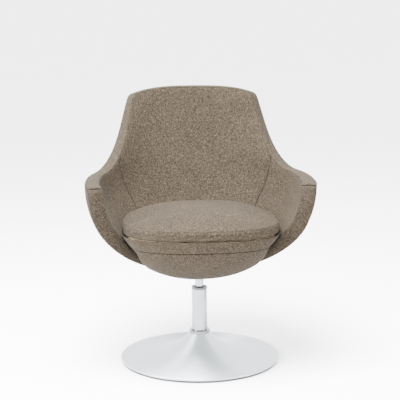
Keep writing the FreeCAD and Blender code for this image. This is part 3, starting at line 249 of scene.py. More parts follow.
def edge_width(z):
    """Millimetres that one whole share would be, measured at the front edge."""
    z = np.asarray(z, float)
    step = shell_outside(np.ones_like(z), z) - shell_outside(np.ones_like(z) - SMALL_SHARE, z)
    return np.linalg.norm(step, axis=-1) / SMALL_SHARE


print("the wall is", WALL, "mm thick, and", FOOT_WALL, "mm at its foot")

# %% [markdown]
# ## Edge and seams of the shell
# Seen from the front, the edge is a shallow crown over the back, a round corner, and a sweep that falls
# to the level arms. Two formulas, blended where they cross, give all three. A small quarter round ends
# each arm, and one seam on each side parts the back from the arm.

# %% Edge and seams
ARM_Z, CROWN_DROP, CROWN_POWER, CROWN_END = 606.0, 26.0, 2.2, 1.2
CORNER_SHARE, CORNER_Z, CORNER_BLEND = 0.236, 843.0, 13.0
SWEEP_END_SHARE, SWEEP_POWER = 0.62, 2.3
TIP_RADIUS = 16.0
TIP_WIDTH = float(edge_width(ARM_Z))
SEAM_TOP_SHARE, SEAM_LOW_SHARE, SEAM_TOP_Z, SEAM_LOW_Z = 0.46, 0.38, 630.0, 480.0
SEAM_GAP = 0.6


def top_edge(share):
    share = np.abs(share)
    crown = TOP_Z - CROWN_DROP * np.minimum(share / CORNER_SHARE, CROWN_END) ** CROWN_POWER
    down = np.clip(1 - (share - CORNER_SHARE) / (SWEEP_END_SHARE - CORNER_SHARE), 0, None)
    sweep = ARM_Z + (CORNER_Z - ARM_Z) * down ** SWEEP_POWER
    mix = np.clip(0.5 + 0.5 * (sweep - crown) / CORNER_BLEND, 0, 1)
    return sweep + (crown - sweep) * mix - CORNER_BLEND * mix * (1 - mix)


def rim_height(share, inset=0.0):
    """Height of the edge, with the round at the arm tips, less an inset measured square to the edge."""
    slope = (top_edge(share + SMALL_SHARE) - top_edge(share - SMALL_SHARE)) / (2 * SMALL_SHARE) / TIP_WIDTH
    from_tip = np.clip((1 - np.abs(share)) * TIP_WIDTH, inset, None)
    radius = TIP_RADIUS - inset
    run = np.clip(radius - (from_tip - inset), 0, radius)
    fall = radius - np.sqrt(np.clip(radius ** 2 - run ** 2, 0, None))
    return top_edge(share) - inset * np.sqrt(1 + slope ** 2) - fall


def seam_share(z):
    fall = np.clip((SEAM_TOP_Z - z) / (SEAM_TOP_Z - SEAM_LOW_Z), 0, 1)
    return SEAM_TOP_SHARE + (SEAM_LOW_SHARE - SEAM_TOP_SHARE) * fall


def front_edge(side, inset):
    return lambda z: side * (1 - inset / edge_width(z))


def back_seam(side, gap):
    return lambda z: side * seam_share(z) + gap / TIP_WIDTH


print("the arm tips are", round(float(shell_point(1, ARM_Z, 0)[0]) * 2), "mm apart")

# %% [markdown]
# ## Sewn cloth
# A real cover is cut flat, and it is drawn in where it is sewn: the cloth rolls down into the seam,
# puckers beside it and swells further off. A cloth simulation of the whole shell would take minutes, and
# it would move the seams. Here each point moves along its normal by a sum of such small forms, which
# depend on its distance from the seam.

# %% Forms of sewn cloth
ROLL = 3.6
CLOTH_BACK = 3.0
SWELL_REACH = 28.0
PUCKER_PITCH, PUCKER_DRIFT, PUCKER_START, PUCKER_REACH = 23.0, 61.0, 2.0, 9.0
WAVE_HEIGHT, WAVE_ACROSS, WAVE_UP, WAVE_START = 0.7, 47.0, 39.0, 40.0
BLOCK = 2000


def nearest_on(points, line):
    """For each point its distance from the nearest point of a line, and that point's number."""
    distances, numbers = [], []
    for start in range(0, len(points), BLOCK):
        gaps = np.linalg.norm(points[start:start + BLOCK, None] - line[None], axis=2)
        distances.append(gaps.min(axis=1))
        numbers.append(gaps.argmin(axis=1))
    return np.concatenate(distances), np.concatenate(numbers)


def grid_rim(grid):
    return np.concatenate([grid[0], grid[1:, -1], grid[-1, -2::-1], grid[-2:0:-1, 0]])


def boundary_distance(points):
    """Distance of each grid point from the edge of its own grid, and how far along the edge that is."""
    rim = grid_rim(points)
    steps = np.linalg.norm(np.diff(rim, axis=0, append=rim[:1]), axis=1)
    along = np.concatenate([[0], np.cumsum(steps)[:-1]])
    distance, number = nearest_on(points.reshape(-1, 3), rim)
    return distance.reshape(points.shape[:2]), along[number].reshape(points.shape[:2])


def grid_normals(points):
    across = np.gradient(points, axis=0)
    up = np.gradient(points, axis=1)
    normal = np.cross(across, up)
    return normal / np.maximum(np.linalg.norm(normal, axis=-1, keepdims=True), TINY)


def away(distance, reach):
    """Grows from 0 at a seam to 1 far from it."""
    return 1 - np.exp(-distance / reach)


def rolled_in(distance):
    """How deep the cloth lies at a distance from its seam: a quarter round."""
    run = np.clip(ROLL - distance, 0, ROLL)
    return ROLL - np.sqrt(np.clip(ROLL ** 2 - run ** 2, 0, None))


def sewn(points, outward, puff, pucker, seed):
    """Moves a flat grid of a panel to its sewn and padded form. outward is a sign for grid_normals."""
    distance, place = boundary_distance(points)
    normal = grid_normals(points) * outward
    swell = puff * away(distance, SWELL_REACH)
    ripple = pucker * np.sin(2 * np.pi * place / PUCKER_PITCH + 3 * np.sin(place / PUCKER_DRIFT + seed))
    ripple *= np.exp(-distance / PUCKER_REACH) * away(distance, PUCKER_START)
    x, z = points[..., 0], points[..., 2]
    wave = WAVE_HEIGHT * np.sin(x / WAVE_ACROSS + seed) * np.sin(z / WAVE_UP + 2 * seed)
    wave = wave * away(distance, WAVE_START)
    return points + normal * (swell - rolled_in(distance) + ripple + wave)[..., None]


print("cloth rolls into its seams over", ROLL, "mm")

# %% [markdown]
# ## Closed panels
# A cover has a thickness, and a mesh without one shows its inside. Each panel is a front grid and a back
# grid a few millimetres under it, joined round the rim. An attribute called cloth keeps each point's
# place on the flat cloth and its distance from the seam, for the weave and for the shade in the seams.

# %% Panel meshes
def smooth(mesh):
    mesh.polygons.foreach_set("use_smooth", [True] * len(mesh.polygons))


def set_cloth(mesh, cloth):
    attribute = mesh.attributes.new("cloth", "FLOAT_VECTOR", "POINT")
    attribute.data.foreach_set("vector", np.asarray(cloth, np.float32).ravel())


def link_mesh(name, vertices, faces, cloth=None):
    mesh = bpy.data.meshes.new(name)
    mesh.from_pydata([tuple(v) for v in np.asarray(vertices) * MM], [], faces)
    smooth(mesh)
    if cloth is not None:
        set_cloth(mesh, cloth)
    mesh.update()
    obj = bpy.data.objects.new(name, mesh)
    bpy.context.scene.collection.objects.link(obj)
    return obj


def two_layers(name, front, back, quads, rims, cloth):
    """A closed mesh of a front and a back. A rim is two rows of numbers and the order of its faces."""
    count = front.shape[0] * front.shape[1]
    faces = [tuple(q) for q in quads] + [tuple(q[::-1] + count) for q in quads]
    for row, following, order in rims:
        for a, b in zip(row, following):
            faces.append((a, b, b + count, a + count)[::order])
    faces = [tuple(int(i) for i in face) for face in faces]
    vertices = np.concatenate([front.reshape(-1, 3), back.reshape(-1, 3)])
    cloth = cloth.reshape(-1, 3) * MM
    return link_mesh(name, vertices, faces, np.concatenate([cloth, cloth]))


def length_along(points, axis):
    """Length from the first point of each row, measured along one axis of a grid."""
    first = points[:1] if axis == 0 else points[:, :1]
    return np.cumsum(np.linalg.norm(np.diff(points, axis=axis, prepend=first), axis=-1), axis=axis)


def closed_panel(name, front, back):
    """A closed mesh between two grids of the same size. The front grid faces outwards."""
    n, m = front.shape[:2]
    index = np.arange(n * m).reshape(n, m)
    quads = np.stack([index[:-1, :-1], index[1:, :-1], index[1:, 1:], index[:-1, 1:]], axis=-1).reshape(-1, 4)
    turned = np.dot(grid_normals(front)[n // 2, m // 2], (front - back)[n // 2, m // 2]) < 0
    if turned:
        quads = quads[:, ::-1]
    rim = grid_rim(index)
    middle_width = np.repeat(length_along(front, 0)[:, m // 2:m // 2 + 1], m, axis=1)
    cloth = np.stack([middle_width, length_along(front, 1), boundary_distance(front)[0]], axis=-1)
    return two_layers(name, front, back, quads, [(rim, np.roll(rim, -1), -1 if turned else 1)], cloth)


def facing(points, target):
    """Sign that turns grid_normals of a grid towards a point."""
    n, m = points.shape[:2]
    normal = grid_normals(points)[n // 2, m // 2]
    return 1.0 if np.dot(normal, np.asarray(target) - points[n // 2, m // 2]) > 0 else -1.0


panels = {}
print("a panel's back lies", CLOTH_BACK, "mm under its front")

# %% [markdown]
# ## Lining and outer cover
# The chair is upholstered in six large panels: a back and two arms inside, and the same three outside.
# Each could be cut out of one big mesh, but a grid of its own, from seam to seam and from the foot to
# the edge, puts rows of points along every seam. The points lie closer together there, where the cloth
# bends most.

# %% Panels of the shell
PANEL_INSET = 1.8
COVER_DEPTH = 0.5
INWARD, OUTWARD = 1, -1
BACK_PUFF, ARM_PUFF, COVER_PUFF = 6.0, 4.0, 0.8
FIT_ROUNDS = 6
COLUMN_PACKING, ROW_PACKING = 0.7, 0.55
INSIDE = (0.0, -100.0, 620.0)
LINING_PUCKER = 0.35
PANEL_SIDES = {
    "back": (back_seam(-1, SEAM_GAP), back_seam(1, -SEAM_GAP)),
    "left": (front_edge(-1, PANEL_INSET), back_seam(-1, -SEAM_GAP)),
    "right": (back_seam(1, SEAM_GAP), front_edge(1, PANEL_INSET)),
}


def packed(count, ends):
    """Numbers from 0 to 1 that lie closer together near both ends."""
    even = np.linspace(0, 1, count)
    return even * (1 - ends) + ends * 0.5 * (1 - np.cos(np.pi * even))


def panel_grid(first_share, last_share, columns, rows, depth):
    """Grid of a shell panel between two seams, given as functions of the height."""
    part = packed(columns, COLUMN_PACKING)[:, None]
    step = packed(rows, ROW_PACKING)[None, :]
    middle = first_share(np.array(ARM_Z)) * (1 - part) + last_share(np.array(ARM_Z)) * part
    share = np.repeat(middle, rows, axis=1)
    for attempt in range(FIT_ROUNDS):
        high = rim_height(share, PANEL_INSET)
        z = FOOT_Z + (high - FOOT_Z) * step
        share = first_share(z) * (1 - part) + last_share(z) * part
    return shell_point(share, z, depth(z))


def shell_panel(name, sides, columns, rows, depth, direction, puff, seed):
    """Makes a panel of the lining, which faces inward, or of the outer cover."""
    grid = panel_grid(*PANEL_SIDES[sides], columns, rows, depth)
    sign = direction * facing(grid, INSIDE)
    front = sewn(grid, sign, puff, LINING_PUCKER, seed)
    back = grid - grid_normals(grid) * sign * CLOTH_BACK
    panels[name] = closed_panel(name, front, back)
    print(name, len(panels[name].data.vertices), "vertices")
    return front, sign


def cover_depth(z):
    return 0 * z + COVER_DEPTH


lining_fronts = {
    "back": shell_panel("inner_back_panel", "back", 150, 130, wall_at, INWARD, BACK_PUFF, seed=0.4),
    "left": shell_panel("inner_arm_panel_left", "left", 110, 90, wall_at, INWARD, ARM_PUFF, seed=1.3),
    "right": shell_panel("inner_arm_panel_right", "right", 110, 90, wall_at, INWARD, ARM_PUFF, seed=2.1),
}
shell_panel("outer_back_panel", "back", 120, 110, cover_depth, OUTWARD, COVER_PUFF, seed=0.9)
shell_panel("outer_side_panel_left", "left", 90, 80, cover_depth, OUTWARD, COVER_PUFF, seed=1.7)
shell_panel("outer_side_panel_right", "right", 90, 80, cover_depth, OUTWARD, COVER_PUFF, seed=2.6)

# %% [markdown]
# ## Edge as a path
# One band covers the whole edge of the shell, from the foot of the left front edge over both arms and
# the back to the right foot. A path of shares and heights leads along it, with more points where it
# turns. The same path at the outer surface and at the lining gives the two sides of the band.

# %% Edge as a path
FRONT_STEPS, TIP_STEPS = 90, 14
SWEEP_STEPS, CORNER_STEPS, CROWN_STEPS = 130, 30, 60
CORNER_REACH = 0.03


def edge_path():
    """Shares and heights along the edge, from the left foot over the top to the right foot."""
    front_z = np.linspace(FOOT_Z, float(rim_height(np.array(1.0))), FRONT_STEPS)
    turn = np.linspace(0, np.pi / 2, TIP_STEPS)[1:]
    tip_share = 1 - TIP_RADIUS * (1 - np.cos(turn)) / TIP_WIDTH
    tip_rise = float(top_edge(1.0)) - TIP_RADIUS * (1 - np.sin(turn))
    corner_out, corner_in = CORNER_SHARE + CORNER_REACH, CORNER_SHARE - CORNER_REACH
    across = np.concatenate([np.linspace(tip_share[-1], corner_out, SWEEP_STEPS)[1:],
                             np.linspace(corner_out, corner_in, CORNER_STEPS)[1:],
                             np.linspace(corner_in, 0, CROWN_STEPS)[1:]])
    half_share = np.concatenate([np.ones_like(front_z), tip_share, across])
    half_z = np.concatenate([front_z, tip_rise, top_edge(across)])
    share = np.concatenate([-half_share, half_share[-2::-1]])
    z = np.concatenate([half_z, half_z[-2::-1]])
    return share, z


path_share, path_z = edge_path()
outer_edge = shell_point(path_share, path_z, 0 * path_z)
inner_edge = shell_point(path_share, path_z, wall_at(path_z))
print("the edge is", round(np.linalg.norm(np.diff(outer_edge, axis=0), axis=1).sum()), "mm long")

# %% [markdown]
# ## Border
# Two cross seams near the arm tips divide the real band into three pieces, because cloth can't be laid
# round the tips in one strip. Each piece is a grid across the edge with a low crown, as the padding
# gives it.

# %% Border pieces
CROSS_SEAM_STEP = 6
BORDER_STEPS, BORDER_PACKING = 22, 0.8
BORDER_CROWN, BORDER_PUFF, BORDER_PUCKER = 3.5, 0.0, 0.25
WALL_INNER_SHARE, WALL_INNER_DROP = 0.93, 30
path_end = len(path_z) - 1
cross_left = FRONT_STEPS + CROSS_SEAM_STEP
cross_right = path_end - cross_left
across_border = packed(BORDER_STEPS, BORDER_PACKING)


def trimmed(grid):
    """Moves the first and last row of a grid in along the grid, to leave room for the cross seam."""
    grid = grid.copy()
    first = grid[1] - grid[0]
    last = grid[-2] - grid[-1]
    grid[0] += first / np.linalg.norm(first, axis=-1, keepdims=True) * SEAM_GAP
    grid[-1] += last / np.linalg.norm(last, axis=-1, keepdims=True) * SEAM_GAP
    return grid


def inside_wall(step):
    """A point in the middle of the wall, a little way in from a step of the edge."""
    share, z = path_share[step], path_z[step]
    return shell_point(share * WALL_INNER_SHARE, z - WALL_INNER_DROP, wall_at(z) / 2)


def border_piece(name, first, last, seed):
    part = across_border[None, :, None]
    grid = trimmed(outer_edge[first:last + 1, None] * (1 - part) + inner_edge[first:last + 1, None] * part)
    sign = -facing(grid, inside_wall((first + last) // 2))
    crown = BORDER_CROWN * 4 * across_border * (1 - across_border)
    raised = grid + grid_normals(grid) * sign * crown[None, :, None]
    front = sewn(raised, sign, BORDER_PUFF, BORDER_PUCKER, seed)
    back = grid - grid_normals(grid) * sign * CLOTH_BACK
    panels[name] = closed_panel(name, front, back)
    print(name, len(panels[name].data.vertices), "vertices")
    return front, sign


border_fronts = [border_piece("front_border_band_left", 0, cross_left, seed=0.3),
                 border_piece("top_border_band", cross_left, cross_right, seed=0.8),
                 border_piece("front_border_band_right", cross_right, path_end, seed=1.9)]

# %% [markdown]
# ## Room for the bowl
# The seat sits in a bowl of bent ply under a cloth cover. Where the shell is narrower than the bowl's
# own round, the bowl has to stay inside the lining, so the lining is measured first: its widest half
# and its back, at each height.

# %% Lining as seen from inside
MEASURED_TOP_Z, MEASURED_LEVELS = 520, 60
SIDE_FIRST_SHARE, SIDE_LAST_SHARE, SIDE_PLACES = 0.4, 0.95, 12
levels = np.linspace(FOOT_Z, MEASURED_TOP_Z, MEASURED_LEVELS)
side_shares = np.linspace(SIDE_FIRST_SHARE, SIDE_LAST_SHARE, SIDE_PLACES)[:, None]
side_lining = shell_point(side_shares, levels[None], wall_at(levels)[None] + 0 * side_shares)
rear_lining = shell_point(0 * levels, levels, wall_at(levels))


def lining_half(z):
    return np.max([np.interp(z, row[:, 2], row[:, 0]) for row in side_lining], axis=0)


def lining_back(z):
    return np.interp(z, rear_lining[:, 2], rear_lining[:, 1])


print("the lining is", round(float(lining_half(FOOT_Z)) * 2), "mm wide at the foot")

# %% [markdown]
# ## Rings of the bowl
# A bowl is round in every plan, so a stack of closed rings suits it better than a grid: there is no seam
# to hide. In front of the shell's edges a ring widens to its own full round, as the photograph shows.

# %% Bowl rings
RING_STEPS = 220
BOWL_RIM_Z, BOWL_WIDE_Z, BOWL_DROP, BOWL_HALF = 446.0, 450.0, 168.0, 250.0
BOWL_FRONT, BOWL_REAR, BOWL_TOP_SHIFT, BOWL_LOW_SHIFT = 190.0, 300.0, 95.0, 20.0
FRONT_FULLNESS = 0.85
BOWL_GAP = 7.5
BOWL_FRONT_POWER, BOWL_FRONT_GAP, BOWL_FRONT_BLEND = 2.1, 12.0, 42.0


def plan_ring(half, front, rear, centre, z, power, widening=None):
    """A closed ring, round like a superellipse, from its half width and its ends along Y."""
    turn = np.linspace(0, 2 * np.pi, RING_STEPS, endpoint=False)
    reach = np.where(np.sin(turn) > 0, rear - centre, centre - front)
    radius = ((np.abs(np.cos(turn)) / half) ** power + (np.abs(np.sin(turn)) / reach) ** power) ** (-1 / power)
    y = centre + radius * np.sin(turn)
    wider = 1.0 if widening is None else widening(y)
    return np.stack([radius * np.cos(turn) * wider, y, 0 * turn + z], axis=-1)


def bowl_ring(z):
    drop = min(1.0, (BOWL_WIDE_Z - z) / BOWL_DROP)
    spread = math.sqrt(1 - drop ** 2)
    centre = -BOWL_TOP_SHIFT + (BOWL_TOP_SHIFT - BOWL_LOW_SHIFT) * drop
    inside = max(z, FOOT_Z)
    half = min(BOWL_HALF * spread, float(lining_half(inside)) - BOWL_GAP)
    front = centre - BOWL_FRONT * spread ** FRONT_FULLNESS
    rear = min(centre + BOWL_REAR * spread, float(lining_back(inside)) - BOWL_GAP)
    full = max(half, BOWL_HALF * (1 - max(drop, 0.0) ** BOWL_FRONT_POWER) ** (1 / BOWL_FRONT_POWER))
    free_edge = float(front_line(np.array(inside))) - BOWL_FRONT_GAP
    return plan_ring(half, front, rear, float(centre_line(np.array(z))), z, ROUNDNESS,
                     lambda y: 1 + (full / half - 1) * ease((free_edge - y) / BOWL_FRONT_BLEND))


print("the bowl is", round(float(np.ptp(bowl_ring(BOWL_RIM_Z)[:, 0]))), "mm wide at its rim")

# %% [markdown]
# ## Sewn rings
# The bowl's cloth has the same forms as a panel, but its seams are rings: cloth is drawn in at its first
# and last ring, and it swells between them. The lower cover starts at the hole for the spindle, where
# it isn't drawn in.

# %% Sewn rings
RING_PUFF, RING_SWELL_REACH = 1.5, 22.0
RING_WAVE, RING_WAVE_X, RING_WAVE_Y, RING_WAVE_START = 0.6, 41.0, 33.0, 30.0
RING_AXIS_DROP = np.array([0, 0, 40.0])
NO_SEAM = 1e3


def ring_normals(rings):
    across = np.roll(rings, -1, axis=1) - np.roll(rings, 1, axis=1)
    up = np.gradient(rings, axis=0)
    normal = np.cross(across, up)
    normal /= np.maximum(np.linalg.norm(normal, axis=-1, keepdims=True), TINY)
    outward = rings - rings.mean(axis=1, keepdims=True) - RING_AXIS_DROP
    return normal * np.sign(np.sum(normal * outward, axis=-1, keepdims=True))


def sewn_rings(rings, seed, sewn_start):
    """Draws the first and the last ring in, and swells the cloth between them."""
    start = length_along(rings, 0)
    end = start[-1:] - start
    distance = np.minimum(start, end) if sewn_start else end
    swell = RING_PUFF * away(distance, RING_SWELL_REACH)
    wave = RING_WAVE * np.sin(rings[..., 0] / RING_WAVE_X + seed) * np.sin(rings[..., 1] / RING_WAVE_Y + seed)
    wave = wave * away(distance, RING_WAVE_START)
    return rings + ring_normals(rings) * (swell - rolled_in(distance) + wave)[..., None]


def ring_quads(index):
    after = np.roll(index, -1, axis=1)
    return np.stack([index[:-1], after[:-1], after[1:], index[1:]], axis=-1).reshape(-1, 4)


def ring_cloth(name, rings, seed, sewn_start):
    """A closed mesh between an outer and an inner stack of rings. Returns the outer stack."""
    front = sewn_rings(rings, seed, sewn_start)
    back = rings - ring_normals(rings) * CLOTH_BACK
    n, m = front.shape[:2]
    index = np.arange(n * m).reshape(n, m)
    rims = [(index[row], np.roll(index[row], -1), order) for row, order in ((0, -1), (n - 1, 1))]
    around = length_along(front[n // 2], 0)
    up = length_along(front, 0)
    from_seam = np.minimum(up[-1:] - up, up if sewn_start else NO_SEAM)
    cloth = np.stack([np.repeat(around[None], n, axis=0), up, from_seam], axis=-1)
    panels[name] = two_layers(name, front, back, ring_quads(index), rims, cloth)
    print(name, len(panels[name].data.vertices), "vertices")
    return front


# %% [markdown]
# ## Bowl cover and apron
# The lower cover is the bowl from the spindle's hole up to a level seam, and the apron is the band from
# that seam to the rim under the cushion. Under the bowl a few flat rings close the cloth towards the
# hole.

# %% Bowl cover and apron
APRON_SEAM_Z = 408.0
ROD_HOLE = 18.0
BOWL_ROWS, APRON_ROWS, BOWL_PACKING = 70, 26, 0.6
CIRCLE_POWER = 2.0
UNDER_PARTS = (0.0, 0.15, 0.35, 0.6, 0.82)
HOLE_LIFT, UNDER_RISE, FIRST_LIFT = 0.6, 1.9, 2.5
bottom_z = BOWL_WIDE_Z - BOWL_DROP


def bowl_rings(low, high, count):
    heights = low + (high - low) * packed(count, BOWL_PACKING)
    return [bowl_ring(z) for z in heights]


lower = bowl_rings(bottom_z + FIRST_LIFT, APRON_SEAM_Z - SEAM_GAP, BOWL_ROWS)
hole = plan_ring(ROD_HOLE, -ROD_HOLE, ROD_HOLE, 0, bottom_z, CIRCLE_POWER)
under = [hole + (lower[0] - hole) * part for part in UNDER_PARTS]
for ring, part in zip(under, UNDER_PARTS):
    ring[:, 2] = bottom_z + HOLE_LIFT + UNDER_RISE * part ** 2
ring_cloth("bowl_cloth", np.array(under + lower), seed=0.5, sewn_start=False)
apron = bowl_rings(APRON_SEAM_Z + SEAM_GAP, BOWL_RIM_Z, APRON_ROWS)
apron_front = ring_cloth("apron_cloth", np.array(apron), seed=1.1, sewn_start=True)

# %% [markdown]
# ## Cushion before it is filled
# The real cushion is a box cushion: a top, a side band and an underside, sewn together and filled with
# foam. It is cut here as rings, a little small, with the crown that the foam gives it. Rings of the
# right plan are simple to draw, and the simulation after it needs only a closed form.

# %% Cushion blank
CUSHION_BOTTOM_Z, CUSHION_SEAM_Z = 448.0, 478.0
CUSHION_HALF, CUSHION_FRONT, CUSHION_SHIFT, CUSHION_POWER = 249.0, 190.0, 95.0, 2.6
CUSHION_DRAW, CUSHION_BACK_GAP, CUSHION_RISE, CROWN_ROUND = 4.0, 4.0, 34.0, 5
BLANK_LIFT, BAND_RINGS = 0.5, 8
UNDERSIDE_SHRINKS = (0.25, 0.5, 0.75, 0.9)
CROWN_SHRINKS = (0.97, 0.93, 0.87, 0.78, 0.66, 0.5, 0.33, 0.16)


def cushion_ring(z, shrink=1.0, draw=CUSHION_DRAW):
    """A ring of the cushion, shrunk towards its middle and drawn in all round."""
    centre = -CUSHION_SHIFT
    half = CUSHION_HALF - draw
    front = centre - (CUSHION_FRONT - draw)
    rear = float(lining_back(min(z, CUSHION_SEAM_Z))) - CUSHION_BACK_GAP - draw
    return plan_ring(half * shrink, centre + (front - centre) * shrink,
                     centre + (rear - centre) * shrink, centre, z, CUSHION_POWER)


def capped_rings(name, rings):
    """A closed mesh of rings with a point in the middle of each end."""
    n, m = rings.shape[:2]
    ends = np.array([rings[0].mean(axis=0), rings[-1].mean(axis=0)])
    vertices = np.concatenate([rings.reshape(-1, 3), ends])
    index = np.arange(n * m).reshape(n, m)
    faces = [tuple(int(i) for i in q) for q in ring_quads(index)]
    faces += [(n * m, int(b), int(a)) for a, b in zip(index[0], np.roll(index[0], -1))]
    faces += [(n * m + 1, int(a), int(b)) for a, b in zip(index[-1], np.roll(index[-1], -1))]
    return link_mesh(name, vertices, faces)


def faced_outwards(obj):
    """Turns all faces if the mesh encloses a negative volume."""
    mesh = obj.data
    mesh.calc_loop_triangles()
    points = np.array([v.co for v in mesh.vertices])
    triangles = np.array([t.vertices for t in mesh.loop_triangles])
    a, b, c = points[triangles[:, 0]], points[triangles[:, 1]], points[triangles[:, 2]]
    if np.sum(a * np.cross(b, c)) < 0:
        mesh.flip_normals()
    return obj


def cushion_blank():
    floor_z = CUSHION_BOTTOM_Z + BLANK_LIFT
    rings = [cushion_ring(floor_z, shrink) for shrink in UNDERSIDE_SHRINKS]
    rings += [cushion_ring(z) for z in np.linspace(floor_z, CUSHION_SEAM_Z, BAND_RINGS)]
    for shrink in CROWN_SHRINKS:
        rise = CUSHION_RISE * (1 - shrink ** CROWN_ROUND)
        rings.append(cushion_ring(CUSHION_SEAM_Z + rise, shrink))
    return faced_outwards(capped_rings("cushion_blank", np.array(rings)))


blank = cushion_blank()
print("the blank is", round(blank.dimensions.x / MM), "mm wide and", round(blank.dimensions.z / MM), "mm high")

# %% [markdown]
# ## Fill the cushion
# Painted or sculpted swelling looks even. The cloth simulation pulls the cover tight between its seams as
# a filling does. The blank is remeshed to even cells, its seams and its underside are pinned, and a
# pressure inside blows it up for a few frames. The move of each point is capped, so that the cushion
# can't grow out of its place.

# %% Simulate
VOXEL = 0.005
CLOTH_FRAMES, PRESSURE, CLOTH_QUALITY = 20, 4.0, 5
MOST_MOVE = 0.011
PIN_REACH, SEAM_PIN_REACH = 3.0, 4.5


def applied(obj, name):
    """A new object with the modifiers of another one applied to its mesh."""
    mesh = bpy.data.meshes.new_from_object(obj.evaluated_get(bpy.context.evaluated_depsgraph_get()))
    mesh.name = name
    result = bpy.data.objects.new(name, mesh)
    bpy.context.scene.collection.objects.link(result)
    bpy.data.objects.remove(obj)
    return result


def remeshed(obj, name):
    remesh = obj.modifiers.new("remesh", "REMESH")
    remesh.mode = "VOXEL"
    remesh.voxel_size = VOXEL
    return applied(obj, name)


def pin(obj, points):
    """Puts the points of the seam and of the underside into the group that the simulation holds still."""
    held = points[:, 2] < CUSHION_BOTTOM_Z + PIN_REACH
    held |= nearest_on(points, cushion_ring(CUSHION_SEAM_Z))[0] < SEAM_PIN_REACH
    group = obj.vertex_groups.new(name="sewn")
    group.add([int(i) for i in np.flatnonzero(held)], 1.0, "REPLACE")
    return group.name


def blow_up(obj):
    """Inflates a closed mesh with its seam and its underside pinned."""
    points = np.array([v.co for v in obj.data.vertices]) / MM
    cloth = obj.modifiers.new("cloth", "CLOTH")
    cloth.settings.use_pressure = True
    cloth.settings.uniform_pressure_force = PRESSURE
    cloth.settings.effector_weights.gravity = 0.0
    cloth.settings.vertex_group_mass = pin(obj, points)
    cloth.settings.quality = CLOTH_QUALITY
    cloth.point_cache.frame_start = 1
    cloth.point_cache.frame_end = CLOTH_FRAMES
    for number in range(1, CLOTH_FRAMES + 1):
        bpy.context.scene.frame_set(number)
    graph = bpy.context.evaluated_depsgraph_get()
    moved = np.array([v.co for v in obj.evaluated_get(graph).data.vertices])
    start = points * MM
    step = moved - start
    length = np.linalg.norm(step, axis=1, keepdims=True)
    step *= np.minimum(1.0, MOST_MOVE / np.maximum(length, TINY))
    obj.modifiers.remove(cloth)
    obj.data.vertices.foreach_set("co", (start + step).ravel())
    obj.data.update()
    bpy.context.scene.frame_set(1)
    print("the cushion swelled by up to", round(float(length.max()) / MM, 1), "mm")


cushion = remeshed(blank, "cushion_form")
blow_up(cushion)
finer = cushion.modifiers.new("finer", "SUBSURF")
finer.levels = 1
finer.render_levels = 1
cushion = applied(cushion, "seat_cushion")
print("the cushion has", len(cushion.data.vertices), "vertices")

# %% [markdown]
# ## Seams of the cushion
# Remeshing wipes out anything narrower than a cell, so the two seams are pressed in afterwards, along
# rings at the top and at the foot of the side band. The cloth's place is the plan on the top and the way
# round on the side.

# %% Seams of the cushion
SEAM_DIP, SEAM_HALF_WIDTH = 2.4, 2.6
LOW_SEAM_LIFT = 2
FILL_POINTS = 6
SIDE_RADIUS = 0.24
FLAT_ENOUGH = 0.6
FAR_FROM_SEAM = 1.0


def press_seam(mesh, ring):
    """Presses a groove into a mesh along a ring."""
    points = np.array([v.co for v in mesh.vertices]) / MM
    normals = np.array([v.normal for v in mesh.vertices])
    depth = SEAM_DIP * np.exp(-(nearest_on(points, ring)[0] / SEAM_HALF_WIDTH) ** 2)
    points -= normals * depth[:, None]
    mesh.vertices.foreach_set("co", (points * MM).ravel())
    mesh.update()


def lay_flat(mesh, seams):
    """Gives each point its place on the flat cloth and its distance from the nearest seam."""
    points = np.array([v.co for v in mesh.vertices])
    normals = np.array([v.normal for v in mesh.vertices])
    turn = np.arctan2(points[:, 1] + CUSHION_SHIFT * MM, points[:, 0])
    from_seam = np.full(len(points), FAR_FROM_SEAM)
    for seam in seams:
        from_seam = np.minimum(from_seam, nearest_on(points, seam * MM)[0])
    side = np.stack([turn * SIDE_RADIUS, points[:, 2], from_seam], axis=-1)
    top = np.stack([points[:, 0], points[:, 1], from_seam], axis=-1)
    set_cloth(mesh, np.where(np.abs(normals[:, 2:3]) > FLAT_ENOUGH, top, side))


def dense(ring):
    """A closed ring with points added between its own."""
    after = np.roll(ring, -1, axis=0)
    return np.concatenate([ring + (after - ring) * part / FILL_POINTS for part in range(FILL_POINTS)])


cushion_seams = [dense(cushion_ring(z)) for z in (CUSHION_SEAM_Z, CUSHION_BOTTOM_Z + LOW_SEAM_LIFT)]
for seam in cushion_seams:
    press_seam(cushion.data, seam)
lay_flat(cushion.data, cushion_seams)
smooth(cushion.data)
panels["seat_cushion"] = cushion
for panel in panels.values():
    faced_outwards(panel)
print("the chair has", len(panels), "soft pieces")

# %% [markdown]
# ## Stitch lines
# Topstitching holds the seam allowance flat beside each seam. Its lines are already in the meshes: they
# are the columns and rows of the panels that lie one stitch set away from the seam. On the cushion, two
# rings are snapped on to the swollen surface.

# %% Stitch lines
STITCH_SET, STITCH_LIFT = 5.0, 0.2
SEAM_ENDS = {"back": (False, True), "left": (True,), "right": (False,)}
TOP_STITCH_RISE = 3
ALL_BUT_ENDS = slice(2, -2)


def nearest_column(grid, from_end):
    """Column of a grid that lies a stitch set away from its first or its last column."""
    middle = grid[grid.shape[0] // 2]
    steps = np.concatenate([[0], np.cumsum(np.linalg.norm(np.diff(middle, axis=0), axis=1))])
    distance = steps[-1] - steps if from_end else steps
    return int(np.argmin(np.abs(distance - STITCH_SET)))


def lifted(front, sign):
    return front + grid_normals(front) * sign * STITCH_LIFT


def snapped(ring, obj):
    """A ring moved on to the surface of a mesh, and a hair above it."""
    result = []
    for place in ring * MM:
        _, spot, normal, _ = obj.closest_point_on_mesh(Vector(place))
        result.append(np.array(spot + normal * STITCH_LIFT * MM) / MM)
    return np.array(result)


